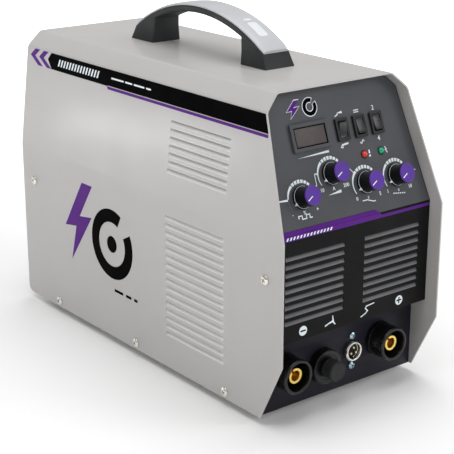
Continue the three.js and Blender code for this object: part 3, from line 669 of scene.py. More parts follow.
def pressed_sheet(name, rows, columns, point, finishes, slot, node):
    """A sheet over rows and columns, thickened inwards; its pressed slats take the second finish, a lighter
    copy that paints light onto them.

    point(row point, column) gives the place in space."""
    bm = bmesh.new()
    grid = []
    for at, out, press, _ in rows:
        grid.append([bm.verts.new(point(at, place) - out * press * depth) for place, depth in columns])
    for i, (low, high) in enumerate(zip(grid, grid[1:])):
        if rows[i][3]:
            continue
        for j in range(len(columns) - 1):
            face = bm.faces.new((low[j], low[j + 1], high[j + 1], high[j]))
            pressed = rows[i + 1][2] * min(columns[j][1], columns[j + 1][1]) > 0
            face.material_index = 1 if pressed else 0
    bmesh.ops.remove_doubles(bm, verts=bm.verts, dist=1e-3)
    bm.normal_update()
    out = rows[0][1]
    bm.faces.ensure_lookup_table()
    if bm.faces[0].normal.dot(out) < 0:
        bmesh.ops.reverse_faces(bm, faces=bm.faces)
    ob = piece(name, bm, LEVEL, finishes[0], slot, node)
    ob.data.materials.append(M[finishes[1]])
    thick = ob.modifiers.new("sheet", "SOLIDIFY")
    thick.thickness = SHEET * MM
    thick.offset = -1
    thick.use_even_offset = True
    bake_modifiers(ob)
    return ob


def sheet_rows(outline, radius, lifts, to_space):
    """Rows along an outline of (a, b) points whose outside is on the left hand when walking it.

    lifts maps a straight stretch's number to the distances of plain rows and of the louvres' starts."""
    rows = []
    last = len(outline) - 2
    for k in range(last + 1):
        a, b = Vector(outline[k]), Vector(outline[k + 1])
        along = (b - a).normalized()
        out2 = Vector((-along.y, along.x))
        direction, out = to_space(along), to_space(out2)
        origin = to_space(a)
        plain, starts = lifts.get(k, ((), ()))
        within = {d: [(p - d) / LOUVRE_OPEN for p in plain if 0 < p - d < LOUVRE_OPEN] for d in starts}
        stops = [(d, 0) for d in plain if not any(0 < d - start < LOUVRE_OPEN for start in starts)]
        stops += [(d, 1) for d in starts]
        stops += [((0 if k == 0 else radius), 0), (((b - a).length - (0 if k == last else radius)), 0)]
        for d, kind in sorted(stops):
            at = origin + direction * d
            if kind:
                rows += louvre_rows(at, direction, out, within[d])
            else:
                rows.append((at, out, 0, False))
        if k < last:
            nxt = (Vector(outline[k + 2]) - b).normalized()
            nxt_out = Vector((-nxt.y, nxt.x))
            start, end = b - along * radius, b + nxt * radius
            for step in (0.25, 0.5, 0.75):
                near = mix(mix(start, b, step), mix(b, end, step), step)
                rows.append((to_space(near), to_space(mix(out2, nxt_out, step).normalized()), 0, False))
    return rows


BEND = 3.0                   # the folds' radius
FOOT_ROWS = (0.4, 1.2, 2.6, 5, REAR_CORNER, 20, CHIN_HEIGHT)    # they draw the rounded and the cut corner
TOP_ROWS = (35, 70.5, 106)
FRONT_COLUMNS = (0, 0.04, 0.4, 1)
REAR_COLUMNS = (0, 0.2, 0.4, 0.6, 0.8, 0.97, 0.985, 1)
COLUMN_GAP = 4               # between the louvres and the plain columns beside them


def cover():
    side = SIDE_LOUVRE
    half = [(HALF, BASE), (HALF, CREASE), (HALF - SHOULDER_INSET, SHOULDER),
            (HALF - SHOULDER_INSET - CHAMFER_INSET, TOP)]
    low = [side["low"] + i * side["low_pitch"] for i in range(side["low_count"])]
    high = [side["high"] + i * side["high_pitch"] for i in range(side["high_count"])]
    stretches = {0: (FOOT_ROWS, low), 1: ((), high), 3: (TOP_ROWS, ())}

    def to_space(v):
        return Vector((v.x, 0, v.y))

    outline = [(-x, z) for x, z in half] + half[::-1]
    rows = sheet_rows(outline, BEND, stretches, to_space)
    # the far side mirrors the near one, so its slats also lean in upwards
    half_way = [k for k, row in enumerate(rows) if row[0].x > -1e-6][0]
    near = rows[:half_way]
    far = []
    for at, out, press, _ in reversed(near):
        far.append([Vector((-at.x, 0, at.z)), Vector((-out.x, 0, out.z)), press, False])
    count = len(near)
    for k in range(count):
        far[count - 1 - k][3] = k > 0 and near[k - 1][3]
    rows = near + [tuple(row) for row in far]
    louvre = louvre_columns(side["y"], side["length"])
    first, last = louvre[0][0][1] - COLUMN_GAP, louvre[-1][0][1] + COLUMN_GAP
    columns = [(("front", t), 0) for t in FRONT_COLUMNS] + louvre + [(("rear", t), 0) for t in REAR_COLUMNS]

    def point(at, place):
        kind, value = place
        if kind == "front":
            y = mix(front_edge(at.z), first, value)
        elif kind == "rear":
            y = mix(last, rear_edge(at.z), value)
        else:
            y = value
        return Vector((at.x, y, at.z))

    # the slats take the lighter cover colour, a painted highlight
    pressed_sheet("cover_shell", rows, columns, point, ("cover", "cover_slat_painted_light"), "cover_paint", "cover")


CUT = 9                      # cutters reach this far on either side of the sheet
KNOBS = ("balance", "current", "slope", "gas")
SWITCHES = ("process", "polarity", "trigger")
LAMPS = ("fault", "power")
DISPLAY = {"w": 45, "h": 25.5}
SWITCH = {"w": 15, "h": 21, "lip": 2.8}
KNOB_HOLE = 4.6
LAMP_HOLE = 3.3
SWITCH_CUT = (13.2, 19.2)
DISPLAY_CUT = (41.4, 21.9)
PANEL_BEND = 1.2
SLOPE_ROWS = (40, 80, SLOPE_LENGTH)
OUTER_COLUMNS = 60           # columns further out give way where the panel narrows


def slope_hole(radius, node):
    return moved(rod(radius, -CUT, CUT, *middle_of(node, SLOPE), 32), SLOPE)


def slope_window(size, node):
    return moved(plate([box_outline(*size, *middle_of(node, SLOPE))], -CUT, CUT), SLOPE)


def front_panel():
    lo, hi = span("front_panel")
    outline = [(SOCKET_Y + SHEET, lo.z), (PANEL_Y, lo.z), (PANEL_Y, CREASE),
               (PANEL_Y + NOSE_LEAN * (hi.z - CREASE) / LEAN, hi.z)]
    louvre = FRONT_LOUVRE
    starts = [BASE + louvre["low"] + i * louvre["pitch"] - lo.z for i in range(louvre["count"])]

    def to_space(v):
        return Vector((0, v.x, v.y))

    stretches = {1: ((), starts), 2: (SLOPE_ROWS, ())}
    rows = sheet_rows(outline, PANEL_BEND, stretches, to_space)
    near, far = (louvre_columns(x, louvre["length"]) for x in (-louvre["x"], louvre["x"]))
    columns = [(("left", t), 0) for t in (0, 0.5)] + near + [(("at", 0), 0)] + far
    columns += [(("right", t), 0) for t in (0.5, 1)]
    edge = near[0][0][1] - 2

    def point(at, place):
        kind, value = place
        half = half_width(at.z, CLEAR)
        near_edge = min(-edge, half - 1)
        if kind == "left":
            x = mix(-half, -near_edge, value)
        elif kind == "right":
            x = mix(near_edge, half, value)
        else:
            limit = near_edge - 0.2 if abs(value) > OUTER_COLUMNS else math.inf
            x = max(-limit, min(limit, value))
        return Vector((x, at.y, at.z))

    # the slats take the light grey, painted light
    ob = pressed_sheet("front_panel_sheet", rows, columns, point, ("louvre_paint", "slat_paint_painted_light"),
                       "front_paint", "front_panel")
    cut_by(ob,
           *[slope_hole(KNOB_HOLE, f"knob_cap_{k}") for k in KNOBS],
           *[slope_hole(LAMP_HOLE, f"indicator_{k}") for k in LAMPS],
           *[slope_window(SWITCH_CUT, f"switch_body_{k}") for k in SWITCHES],
           slope_window(DISPLAY_CUT, "display_window"))


# painted shade on the front slats: darker towards each slat's upper end
shade_slats(M["slat_paint_painted_light"], BASE + FRONT_LOUVRE["low"], FRONT_LOUVRE["pitch"])
cover()
front_panel()


# ---- print on the sloping panel ----
FILM = 0.25                  # thickness of the printed film over the sloping panel
INK = 0.08
LIFT = 0.02                  # prints stand this far off their sheet, so no two faces coincide
PRINT_EDGE = 0.8             # and end this far inside its edge
BAND_TOP = 4.2               # the purple band reaches this far up the slope
BAND_DROP = 5.1              # and this far down the louvred face
BAND_LINE = 2.1              # its thin right-hand part starts this far below the crease
BAND_END = 25.4


def printed(name, outlines, low, high, face, ink, slot="front_paint"):
    """Ink that fills flat outlines on a face."""
    piece(name, plate(outlines, low, high), face, ink, slot)


def ribbon(points, width):
    """The outline of an open line of a given width, with mitred corners."""
    left, right = [], []
    for i, p in enumerate(points):
        p = Vector(p)
        back = (p - Vector(points[i - 1])).normalized() if i else None
        on = (Vector(points[i + 1]) - p).normalized() if i < len(points) - 1 else None
        along = ((back or on) + (on or back)).normalized()
        side = Vector((-along.y, along.x))
        reach = width / 2 / max(0.4, side.dot(Vector((-(on or back).y, (on or back).x))))
        left.append(tuple(p + side * reach))
        right.append(tuple(p - side * reach))
    return left + right[::-1]


def slope_half(v):
    return half_width(CREASE + v * LEAN / SLOPE_LENGTH, CLEAR)


def control_film():
    top = (TOP - CLEAR - CREASE) * SLOPE_LENGTH / LEAN - 1
    right = [(slope_half(v) - PRINT_EDGE, v) for v in (0.4, SLOPE_LENGTH, top)]
    left = [(PRINT_EDGE - slope_half(v), v) for v in (top, SLOPE_LENGTH, BAND_TOP)]
    outline = right + left + [(BAND_END, BAND_TOP), (BAND_END + 5.2, 0.4)]
    holes = [circle(KNOB_HOLE + 0.3, *middle_of(f"knob_cap_{k}", SLOPE), 32) for k in KNOBS]
    holes += [circle(LAMP_HOLE + 0.1, *middle_of(f"indicator_{k}", SLOPE), 24) for k in LAMPS]
    holes += [box_outline(*SWITCH_CUT, *middle_of(f"switch_body_{k}", SLOPE)) for k in SWITCHES]
    holes.append(box_outline(*DISPLAY_CUT, *middle_of("display_window", SLOPE)))
    printed("control_film", [outline] + holes, LIFT, FILM - LIFT, SLOPE, "overlay")

def purple_band():
    half = HALF - CLEAR - PRINT_EDGE
    upper = [(-half, 0.1), (BAND_END + 5.6, 0.1), (BAND_END, BAND_TOP - 0.3), (-half + 0.4, BAND_TOP - 0.3)]
    foot = CREASE - BAND_DROP
    line = CREASE - BAND_LINE
    lower = [(-half, foot), (half, foot), (half, line), (BAND_END + 8, line), (BAND_END + 5.6, CREASE - 0.1),
             (-half, CREASE - 0.1)]
    shape = joined(moved(plate([upper], LIFT, FILM), SLOPE), moved(plate([lower], LIFT, FILM), LOUVRE_FACE))
    piece("purple_band", shape, LEVEL, "print_purple", "front_paint")
    bars = [[(x, -4.1), (x + 1.9, -4.1), (x + 3.1, -1.3), (x + 1.2, -1.3)] for x in range(-84, -30, 4)]
    hatch = [[(x, CREASE + v) for x, v in bar] for bar in bars]
    printed("band_hatch", hatch, FILM, FILM + INK, LOUVRE_FACE, "print_white")


# Each dial's scale grows from a thin line at its low end to a thick one at its high end.
SCALE_START = 213
SCALE_END = 40
SCALE_RADIUS = 16.2
THIN = 0.8
THICK = 3.4
THICK_FROM = 128             # the scale is broken into steps after this angle
STEPS = 6
STEP_GAP = 3.4               # degrees


def dial_scale(x, v):
    def thickness(angle):
        t = (SCALE_START - angle) / (SCALE_START - SCALE_END)
        return mix(THIN, THICK, min(1, t * 1.6) ** 1.4) * (1 - 0.3 * max(0, t - 0.7) / 0.3)

    def crescent(a, b, count):
        angles = [mix(a, b, i / count) for i in range(count + 1)]
        rim = [(SCALE_RADIUS, math.radians(q)) for q in angles]
        rim += [(SCALE_RADIUS - thickness(q), math.radians(q)) for q in reversed(angles)]
        return [(x + r * math.cos(q), v + r * math.sin(q)) for r, q in rim]

    outlines = [crescent(SCALE_START, THICK_FROM, 14)]
    step = (THICK_FROM - SCALE_END) / STEPS
    for i in range(STEPS):
        start = THICK_FROM - i * step
        outlines.append(crescent(start - STEP_GAP, start - step, 4))
    return outlines


def legend_icons(x, v, kind):
    """A small pictogram under a dial: balance, amount, falling slope or gas flow."""
    base = v - 18.3
    if kind == "balance":
        wave = [(-8, 0), (-8, 2.4), (-4, 2.4), (-4, -0.8), (1, -0.8), (1, 2.4), (5, 2.4), (5, -0.8),
                (8, -0.8)]
        return [ribbon([(x + a, base + b) for a, b in wave], 1)]
    if kind == "current":
        return [[(x - 8, base - 0.6), (x + 8, base - 0.6), (x + 8, base + 2.2)]]
    if kind == "slope":
        ramp = [(-8, 2), (-2, 2), (5, -0.5), (8, -0.5)]
        return [ribbon([(x + a, base + b) for a, b in ramp], 0.9)]
    return [box_outline(1.7, 1.1, x - 7 + 2.7 * i, base + 1.8 - 0.35 * i) for i in range(6)]


def switch_signs():
    """Pictograms over and under two switches: electrode and torch, flat line and wave."""
    electrode = [ribbon([(-5, -1.6), (-0.6, 0.6)], 0.9), ribbon([(-1.4, 0.4), (4.6, 1.6)], 2.2)]
    torch = [ribbon([(-4.8, -1.8), (-2.6, 0.6), (4.8, 1.4)], 1.7), ribbon([(-3.9, -0.2), (-2.2, -2)], 0.8)]
    wave = [(2.4 * t, 1.5 * math.sin(math.pi * t)) for t in [-1 + k / 8 for k in range(17)]]
    return {"process": (electrode, torch),
            "polarity": ([box_outline(6, 0.9, 0, 0.9), box_outline(6, 0.9, 0, -0.9)], [ribbon(wave, 0.9)])}


def white_print():
    outlines, letters = [], []
    ends = {"balance": ("-", "%", "+"), "current": ("10", "A", "200"), "slope": ("0", "s", "5"),
            "gas": ("1", "s", "10")}
    spots = [middle_of(f"knob_cap_{k}", SLOPE) for k in KNOBS]
    for k, (x, v) in zip(KNOBS, spots):
        outlines += dial_scale(x, v)
        outlines += legend_icons(x, v, k)
        for text, dx, dv in zip(ends[k], (-14, 0, 15.5), (-13.4, -14, -13.4)):
            letters.append(lettering(text, 4.8, x + dx, v + dv, FILM, FILM + INK))
    (x1, v1), (x2, v2), (x3, v3), (x4, v4) = spots
    reach = SCALE_RADIUS
    # thin lines lead from dial to dial and off to the panel's edges
    outlines.append(ribbon([(-88, v1 + 0.9), (x1 - reach + 0.3, v1 + 0.9)], 0.7))
    outlines.append(ribbon([(x1 + reach - 2.6, v1 + 7), (x1 + 20.3, v1 + 7), (x1 + 20.3, v2 + 2.8),
                            (x2 - reach + 0.3, v2 + 2.8)], 0.7))
    outlines.append(ribbon([(x2 + reach - 0.6, v2 + 2.3), (x2 + 21.9, v2 + 2.3),
                            (x3 - 11.8, v3 + 11.2)], 0.7))
    outlines.append(ribbon([(x4 + reach - 0.6, v4 + 0.9), (x4 + 27, v4 + 0.9)], 0.7))
    for k, (above, below) in switch_signs().items():
        x, v = middle_of(f"switch_body_{k}", SLOPE)
        for signs, dv in ((above, 14.4), (below, -14.6)):
            outlines += [[(x + a, v + dv + b) for a, b in sign] for sign in signs]
    for text, dv in (("2", 14.4), ("4", -14.6)):
        x, v = middle_of("switch_body_trigger", SLOPE)
        letters.append(lettering(text, 6.4, x, v + dv, FILM, FILM + INK))
    x, v = middle_of("display_window", SLOPE)
    outlines.append([(x - 19, v - 17.8), (x + 19, v - 17.8), (x + 19, v - 15.6)])
    x, v = middle_of("indicator_fault", SLOPE)
    outlines.append(box_outline(1.7, 3.4, x + 6.9, v + 1.4))
    outlines.append(box_outline(2.1, 1.7, x + 6.9, v - 2.4))
    x, v = middle_of("indicator_power", SLOPE)
    outlines.append(ribbon([(x + 5.6, v + 3.2), (x + 7.2, v + 0.4), (x + 6, v + 0.2), (x + 7.8, v - 3)], 0.9))
    shape = joined(plate(outlines, FILM, FILM + INK), *letters)
    piece("panel_print", shape, SLOPE, "print_white", "front_paint")


# a bolt's outline in a box of one by one
BOLT = [(0.66, 1.0), (0.08, 0.40), (0.44, 0.44), (0.26, 0.0), (0.94, 0.62), (0.56, 0.58), (0.98, 1.0)]


def bolt(x, y, w, h, grow=0.0):
    middle = Vector((0.5, 0.5))
    out = []
    for p in BOLT:
        away = (Vector(p) - middle).normalized()
        out.append((x + p[0] * w + away.x * grow, y + p[1] * h + away.y * grow))
    return out


def broken_ring(x, y, outer, inner, start=62, end=388):
    return arc(outer, start, end, 40, x, y) + arc(inner, end, start, 40, x, y)


def small_emblem():
    """A generic mark: a bolt beside a broken ring, each edged in white."""
    bolt_box, ring_at = (-55, 101.5, 18, 15.5), (-26, 109)
    edges = [bolt(*bolt_box, 1), broken_ring(*ring_at, 9, 3.6, 58, 392)]
    printed("emblem_edge", edges, FILM, FILM + INK, SLOPE, "print_white")
    printed("emblem_bolt", [bolt(*bolt_box)], FILM, FILM + 2 * INK, SLOPE, "print_purple")
    printed("emblem_ring", [broken_ring(*ring_at, 8.2, 4.4)], FILM, FILM + 2 * INK, SLOPE, "print_black")


def socket_marks():
    """Polarity discs and the torch and electrode-holder signs over the sockets."""
    low = CREASE - 94.6
    bar, arm = 1.5, 3.2
    white = [circle(4.8, x, low, 40) for x in (-62, 61.4)]
    x, h = 61.4, bar / 2
    quarter = [(h, arm), (h, h), (arm, h)]
    plus = [p for s, t in ((1, 1), (1, -1), (-1, -1), (-1, 1))
            for p in ([(s * a, t * b) for a, b in quarter][::s * t])]
    black = [box_outline(2 * arm, bar, -62, low), [(x + a, low + b) for a, b in plus]]
    torch = [(-35, -2), (-31, -0.5), (-25.8, 1), (-26, 5.8), (-25.2, 6), (-23.6, -1), (-21.4, -3.5),
             (-22.4, -4.1), (-25.6, -1), (-30.8, -1.8), (-34.6, -3.4)]
    holder = [(10.6, -5), (17, -2.6), (19.4, -0.4), (16.4, 2.4), (17.6, 4.4), (28, 5.5)]
    shapes = white + [[(a, low + v) for a, v in torch], ribbon([(a, low + v) for a, v in holder], 1.1)]
    printed("socket_signs", shapes, LIFT, INK + LIFT, LOUVRE_FACE, "print_white")
    printed("polarity_signs", black, INK + LIFT, 2 * INK, LOUVRE_FACE, "print_black")


control_film()
purple_band()
white_print()
small_emblem()
socket_marks()


# ---- print on the side walls ----
STRIPE_LOW = 90.5            # along the leaning wall, above the crease
STRIPE_HIGH = 107.7
STRIPE_TIP = 0.56            # the pointed ends lie this far up the stripe's width
STRIPE_INK = 0.12            # how far the stripe's print stands out, and the hatch on it
HATCH_INK = 0.19
EMBLEM_INK = 0.1


def wall_front(v):
    """Local X of the cover's front edge on a leaning wall, seen from the left."""
    return -front_edge(CREASE + v * LEAN / WALL_LENGTH)


def side_stripe(side, wall, flip):
    """Black stripe, purple line and two chevrons under the shoulder. flip mirrors them for the right side."""
    def seen(points):
        return [(x * flip, v) for x, v in points]

    low, high = STRIPE_LOW, STRIPE_HIGH
    middle = mix(low, high, STRIPE_TIP)
    step = -62
    black = [(-172.5, low), (-181, middle), (-174.6, high), (wall_front(high) - 1.2, high),
             (wall_front(low) - 1.2, low + 0.6), (step, low + 0.6), (step - 3, low)]
    line = [(step - 0.5, low - 3.1), (wall_front(low) - 1.2, low - 3.1), (wall_front(low) - 1.2, low - 0.2),
            (step - 2.4, low - 0.2)]
    chevrons = []
    for x in (-200.4, -182.6):
        edge = [(x, low), (x - 17, middle), (x - 7.8, high)]
        chevrons.append(edge + [(a + 9.6, v) for a, v in edge[::-1]])
    hatch = [[(x, low + 5), (x + 2.6, low + 5), (x + 5.2, low + 12.6), (x + 2.6, low + 12.6)]
             for x in [-160 + 5.4 * i for i in range(15)]]
    bars = [box_outline(w, 1.7, x, low + 9) for x, w in ((-46, 22), (-26, 12), (-8, 18), (8, 8))]
    layers = (("stripe", [black], LIFT, STRIPE_INK, "print_black"),
              ("stripe_line", [line] + chevrons, LIFT, STRIPE_INK, "print_purple"),
              ("stripe_hatch", hatch + bars, STRIPE_INK, HATCH_INK, "print_white"))
    for name, outlines, low_ink, high_ink, ink in layers:
        printed(f"{name}_{side}", [seen(o) for o in outlines], low_ink, high_ink, wall, ink, "cover_paint")


def side_emblem(side, wall, flip):
    """The same generic mark, large: a purple bolt beside a black broken ring."""
    # on both sides the mark reads the same way and lies between the louvres and the rear
    shift = 0 if flip > 0 else 132
    mark = bolt(-143 + shift, BASE + 66, 62, 92)
    ring = broken_ring(-47 + shift, BASE + 104, 38, 24)
    dot = circle(9, -47 + shift, BASE + 104, 36)
    bars = [box_outline(w, 3, x + shift, BASE + 54) for x, w in ((-36, 16), (-18, 10), (-5, 6))]
    printed(f"emblem_bolt_{side}", [mark], LIFT, EMBLEM_INK, wall, "print_purple", "cover_paint")
    printed(f"emblem_ring_{side}", [ring, dot] + bars, LIFT, EMBLEM_INK, wall, "print_black", "cover_paint")


side_stripe("left", LEFT_LEAN, 1)
side_stripe("right", RIGHT_LEAN, -1)
side_emblem("left", LEFT_WALL, 1)
side_emblem("right", RIGHT_WALL, -1)


# ---- screws ----
def pan_screw(radius, height, recess=0.5):
    """A cross-recessed pan head standing on its plane."""
    profile = [(0, -2), (radius * 0.5, -2), (radius * 0.5, 0.02), (radius, 0.02, 0.15),
               (radius * 0.97, height * 0.55, 0.6), (radius * 0.55, height, 0.8), (0, height)]
    head = turned(profile, 32, 0.1)
    arm, width, floor = radius * recess, radius * 0.13, height * 0.3
    cross = [(-arm, -width), (-width, -width), (-width, -arm), (width, -arm), (width, -width), (arm, -width),
             (arm, width), (width, width), (width, arm), (-width, arm), (-width, width), (-arm, width)]
    holder = bpy.data.objects.new("head", bpy.data.meshes.new("head"))
    head.to_mesh(holder.data)
    head.free()
    holder.data.transform(Matrix.Scale(MM, 4))
    bpy.context.scene.collection.objects.link(holder)
    cut_by(holder, plate([cross], floor, height + 2))
    shape = bmesh.new()
    shape.from_mesh(holder.data)
    bpy.data.objects.remove(holder)
    return moved(shape, Matrix.Scale(1 / MM, 4))


# (along the wall, above its foot)
SCREW_SPOTS = ((201, 138), (157, 7.4), (6, 7.4), (-143, 7.4), (-201, 138))
SCREW_TURN = 27              # degrees each head is turned on from the one before it


def cover_screws():
    """Pan heads that stand proud of both side walls."""
    head = pan_screw(5, 2.5, 0.42)
    copies = []
    for y, up in SCREW_SPOTS:
        for wall, along in ((LEFT_WALL, -y), (RIGHT_WALL, y)):
            spot = wall @ Matrix.Translation((along, BASE + up, 0))
            copies.append(moved(spun(head.copy(), SCREW_TURN * (len(copies) + 1)), spot))
    head.free()
    piece("cover_screws", joined(*copies), LEVEL, "chrome", "zinc_steel")


cover_screws()


# ---- knobs ----
POINTER_TURN = -60           # degrees the knobs stand turned from pointing straight down


def knob(k):
    place = seat(f"knob_cap_{k}", SLOPE)
    body = f"knob_{k}_body"
    profile = [(0, 0.6), (10.7, 0.6, 0.3), (11, 1.1, 0.4), (11, 2.3, 0.5), (10.4, 2.7, 0.2), (9.75, 2.7, 0.3),
               (9.5, 3.6, 0.3), (9.1, 15.4, 0.35), (0, 15.4)]
    skirt = turned(profile, 144, 0.2, flutes=36, flute_depth=0.16, flute_span=(3.6, 15.1))
    shaft = rod(2.9, -7.2, 0.7, sides=24)
    piece(f"knob_body_{k}", joined(skirt, shaft), place, "knob_plastic", "knob_plastic", f"knob_{k}", body)
    rim = turned([(10.05, 2.68), (10.35, 2.68), (10.35, 2.82), (10.05, 2.82)], 96)
    pointer = spun(plate([[(-1.7, -9.7), (1.7, -9.7), (0, -12.2)]], 1.2, 3.1, 0.1), POINTER_TURN)
    line = spun(plate([softened(box_outline(0.8, 6.8, 0, -4.6), 0.3)], 17.0, 17.26), POINTER_TURN)
    piece(f"knob_marks_{k}", joined(rim, pointer, line), place, "print_white", "knob_plastic", body=body)
    cap = [(0, 15.7), (9.1, 15.7, 0.2), (9.1, 16.7, 0.5), (8.5, 17.2, 0.3), (7.9, 17.05, 0.3), (0, 17.05)]
    piece(f"knob_top_{k}", turned(cap, 96, 0.2), place, "cap_plastic", "knob_cap_plastic", f"knob_cap_{k}",
          body)


for k in KNOBS:
    knob(k)


# ---- rocker switches ----
ROCK = 10                    # degrees a paddle leans to either side
PIVOT = 1                    # the paddle's middle over the panel


def switch_frame(scale):
    w, h, lip = SWITCH["w"] * scale, SWITCH["h"] * scale, SWITCH["lip"] * scale
    wall = 2.7 * scale
    outer = softened(box_outline(w, h), 1.2 * scale)
    inner = softened(box_outline(w - 2 * wall, h - 2 * wall), 0.5 * scale)
    flange = plate([outer, inner], 0.3, lip, 0.35 * scale, 3)
    inside = box_outline(w - 2 * wall, h - 2 * wall)
    housing = plate([box_outline(w - 2.4 * scale, h - 2.4 * scale), inside], -15 * scale, 0.32)
    floor = plate([box_outline(w - 2.4 * scale, h - 2.4 * scale)], -16 * scale, -15 * scale)
    return joined(flange, housing, floor)


def rocker(scale, tilt):
    """A paddle with a hollow face: its high end stands proud of the frame."""
    end = ((SWITCH["h"] - 5.4) / 2 - 0.7) * scale
    s = scale
    face = [(end * math.cos(math.radians(a)), (2.9 - 0.95 * math.sin(math.radians(a))) * s)
            for a in range(0, 181, 15)]
    outline = [(-end, -0.4 * s), (-3 * s, -4.5 * s), (3 * s, -4.5 * s), (end, -0.4 * s)] + face
    half = ((SWITCH["w"] - 6.2) / 2) * s
    shape = swept(softened(outline, 0.3 * s), half, 0.35 * s)
    return shifted(spun(shape, tilt, "X"), z=PIVOT * s)


def panel_switch(k, tilt):
    place = seat(f"switch_body_{k}", SLOPE)
    piece(f"switch_frame_{k}", switch_frame(1), place, "switch", "switch_plastic", f"switch_body_{k}")
    piece(f"switch_paddle_{k}", rocker(1, tilt), place, "paddle", "switch_plastic",
          f"switch_rocker_{k}", f"switch_rocker_{k}_body")


for k, tilt in zip(SWITCHES, (ROCK, -ROCK, -ROCK)):
    panel_switch(k, tilt)


# ---- display and lamps ----
def display():
    place = seat("display_window", SLOPE)
    w, h = DISPLAY["w"], DISPLAY["h"]
    outer = softened(box_outline(w, h), 0.8)
    inner = softened(box_outline(w - 7, h - 7), 0.5)
    frame_ring = plate([outer, inner], 0.3, 3, 0.3, 3)
    tray = plate([box_outline(w - 4.4, h - 4.4)], -10, 0.8)
    piece("display_frame", joined(frame_ring, tray), place, "bezel", "bezel_plastic", "display_bezel")
    # painted shade: a black ring round the inside of the bezel, where its recess walls lie in shade over the
    # window
    shade_ring = plate([box_outline(w - 7.1, h - 7.1), box_outline(w - 9, h - 9)], 2.12, 2.6, 0.05)
    piece("display_painted_shade", shade_ring, place, "print_black", "bezel_plastic")
    pane = plate([softened(box_outline(w - 7.5, h - 7.5), 0.4)], 1.1, 2.1, 0.12)
    piece("display_pane", pane, place, "smoke", "window_plastic", "display_window")


LAMP = 2.9                   # radius


def lamp(k, finish, slot):
    place = seat(f"indicator_{k}", SLOPE)
    dome = arc(LAMP, 0, 90, 10)[1:-1]
    profile = [(0, -6), (LAMP, -6), (LAMP, 0.6)] + [(r, 0.6 + h) for r, h in dome] + [(0, 0.6 + LAMP)]
    piece(f"lamp_{k}", turned(profile, 40), place, finish, slot, f"indicator_{k}")
    collar = turned([(3.05, 0.28), (4, 0.28), (3.9, 0.9), (3.05, 0.9)], 40, 0.15)
    piece(f"lamp_collar_{k}", collar, place, "black_plastic", "bezel_plastic")


display()
lamp("fault", "lamp_red", "lamp_red")
lamp("power", "lamp_green", "lamp_green")


# ---- socket panel ----
OUTPUTS = ("negative", "positive")


def socket_panel():
    lo, hi = span("socket_panel")
    bores = [(f"output_socket_{k}", 13, 48) for k in OUTPUTS]
    bores += [("torch_connector", 10.4, 48), ("control_socket_shell", 9, 48)]
    bores += [(f"control_socket_screw_{k}", 1.9, 24) for k in ("upper", "lower")]
    holes = [circle(radius, *middle_of(node, FRONT_FACE), steps) for node, radius, steps in bores]
    outline = box_outline(hi.x - lo.x, hi.z - lo.z, 0, (hi.z + lo.z) / 2)
    piece("socket_plate", plate([outline] + holes, -SHEET, 0, 0.15), FRONT_FACE, "socket_paint",
          "socket_panel_paint", "socket_panel")


def output_socket(k):
    place = seat(f"output_socket_{k}", FRONT_FACE)
    profile = [(8.4, -22), (12.6, -22), (12.6, 0.3, 0), (17.2, 0.3, 0.4), (17.1, 4.5, 0.3), (16.7, 5, 0.2),
               (16.9, 21.4, 0.5), (16.1, 22.9, 0.5), (14.2, 23, 0.5), (13.6, 22, 0.4), (13.3, 4, 0.8),
               (8.4, 4, 0.2)]
    piece(f"socket_shell_{k}", turned(profile, 96, 0.3), place, "socket_plastic",
          "socket_plastic", f"output_socket_{k}")
    contact = [(0, -26), (8, -26), (8, 17.4, 0.5), (7.5, 18.2, 0.3), (5.3, 18.2, 0.3), (4.8, 17.4, 0.3),
               (4.8, 2, 0.3), (0, 2)]
    ob = piece(f"socket_core_{k}", turned(contact, 72, 0.3), place, "brass", "brass", f"socket_contact_{k}")
    notch = spun(plate([box_outline(2.4, 4.2, 0, 6.4)], 6, 20), 38)
    cut_by(ob, moved(notch, place))
    bevelled(ob, 0.15)


def torch_connector():
    place = seat("torch_connector", FRONT_FACE)
    profile = [(0, -30), (3, -30), (3, -20), (10, -20), (10, 0.3, 0), (17.2, 0.3, 0.3), (17.2, 8.8, 0.5),
               (16.3, 9.8, 0.4), (12.4, 9.8, 0.3), (12, 9.2, 0.2), (6.4, 9.2, 0.2), (6.2, -12), (0, -12)]
    piece("torch_base", turned(profile, 96, 0.3), place, "socket_plastic", "socket_plastic",
          "torch_connector")
    cap = [(0, -8), (5.6, -8), (5.6, 10.1, 0), (9.4, 10.1, 0.3), (9.9, 12.4, 0.3), (9.5, 13, 0.2),
           (9.9, 22.4, 0.7), (8.8, 24, 0.5), (7.6, 23.6, 0.3), (0, 23.6)]
    piece("torch_cap", turned(cap, 120, 0.3, flutes=30, flute_depth=0.22, flute_span=(13.5, 21.5)), place,
          "cap_rubber", "cap_rubber", "torch_dust_cap", "dust_cap_body")


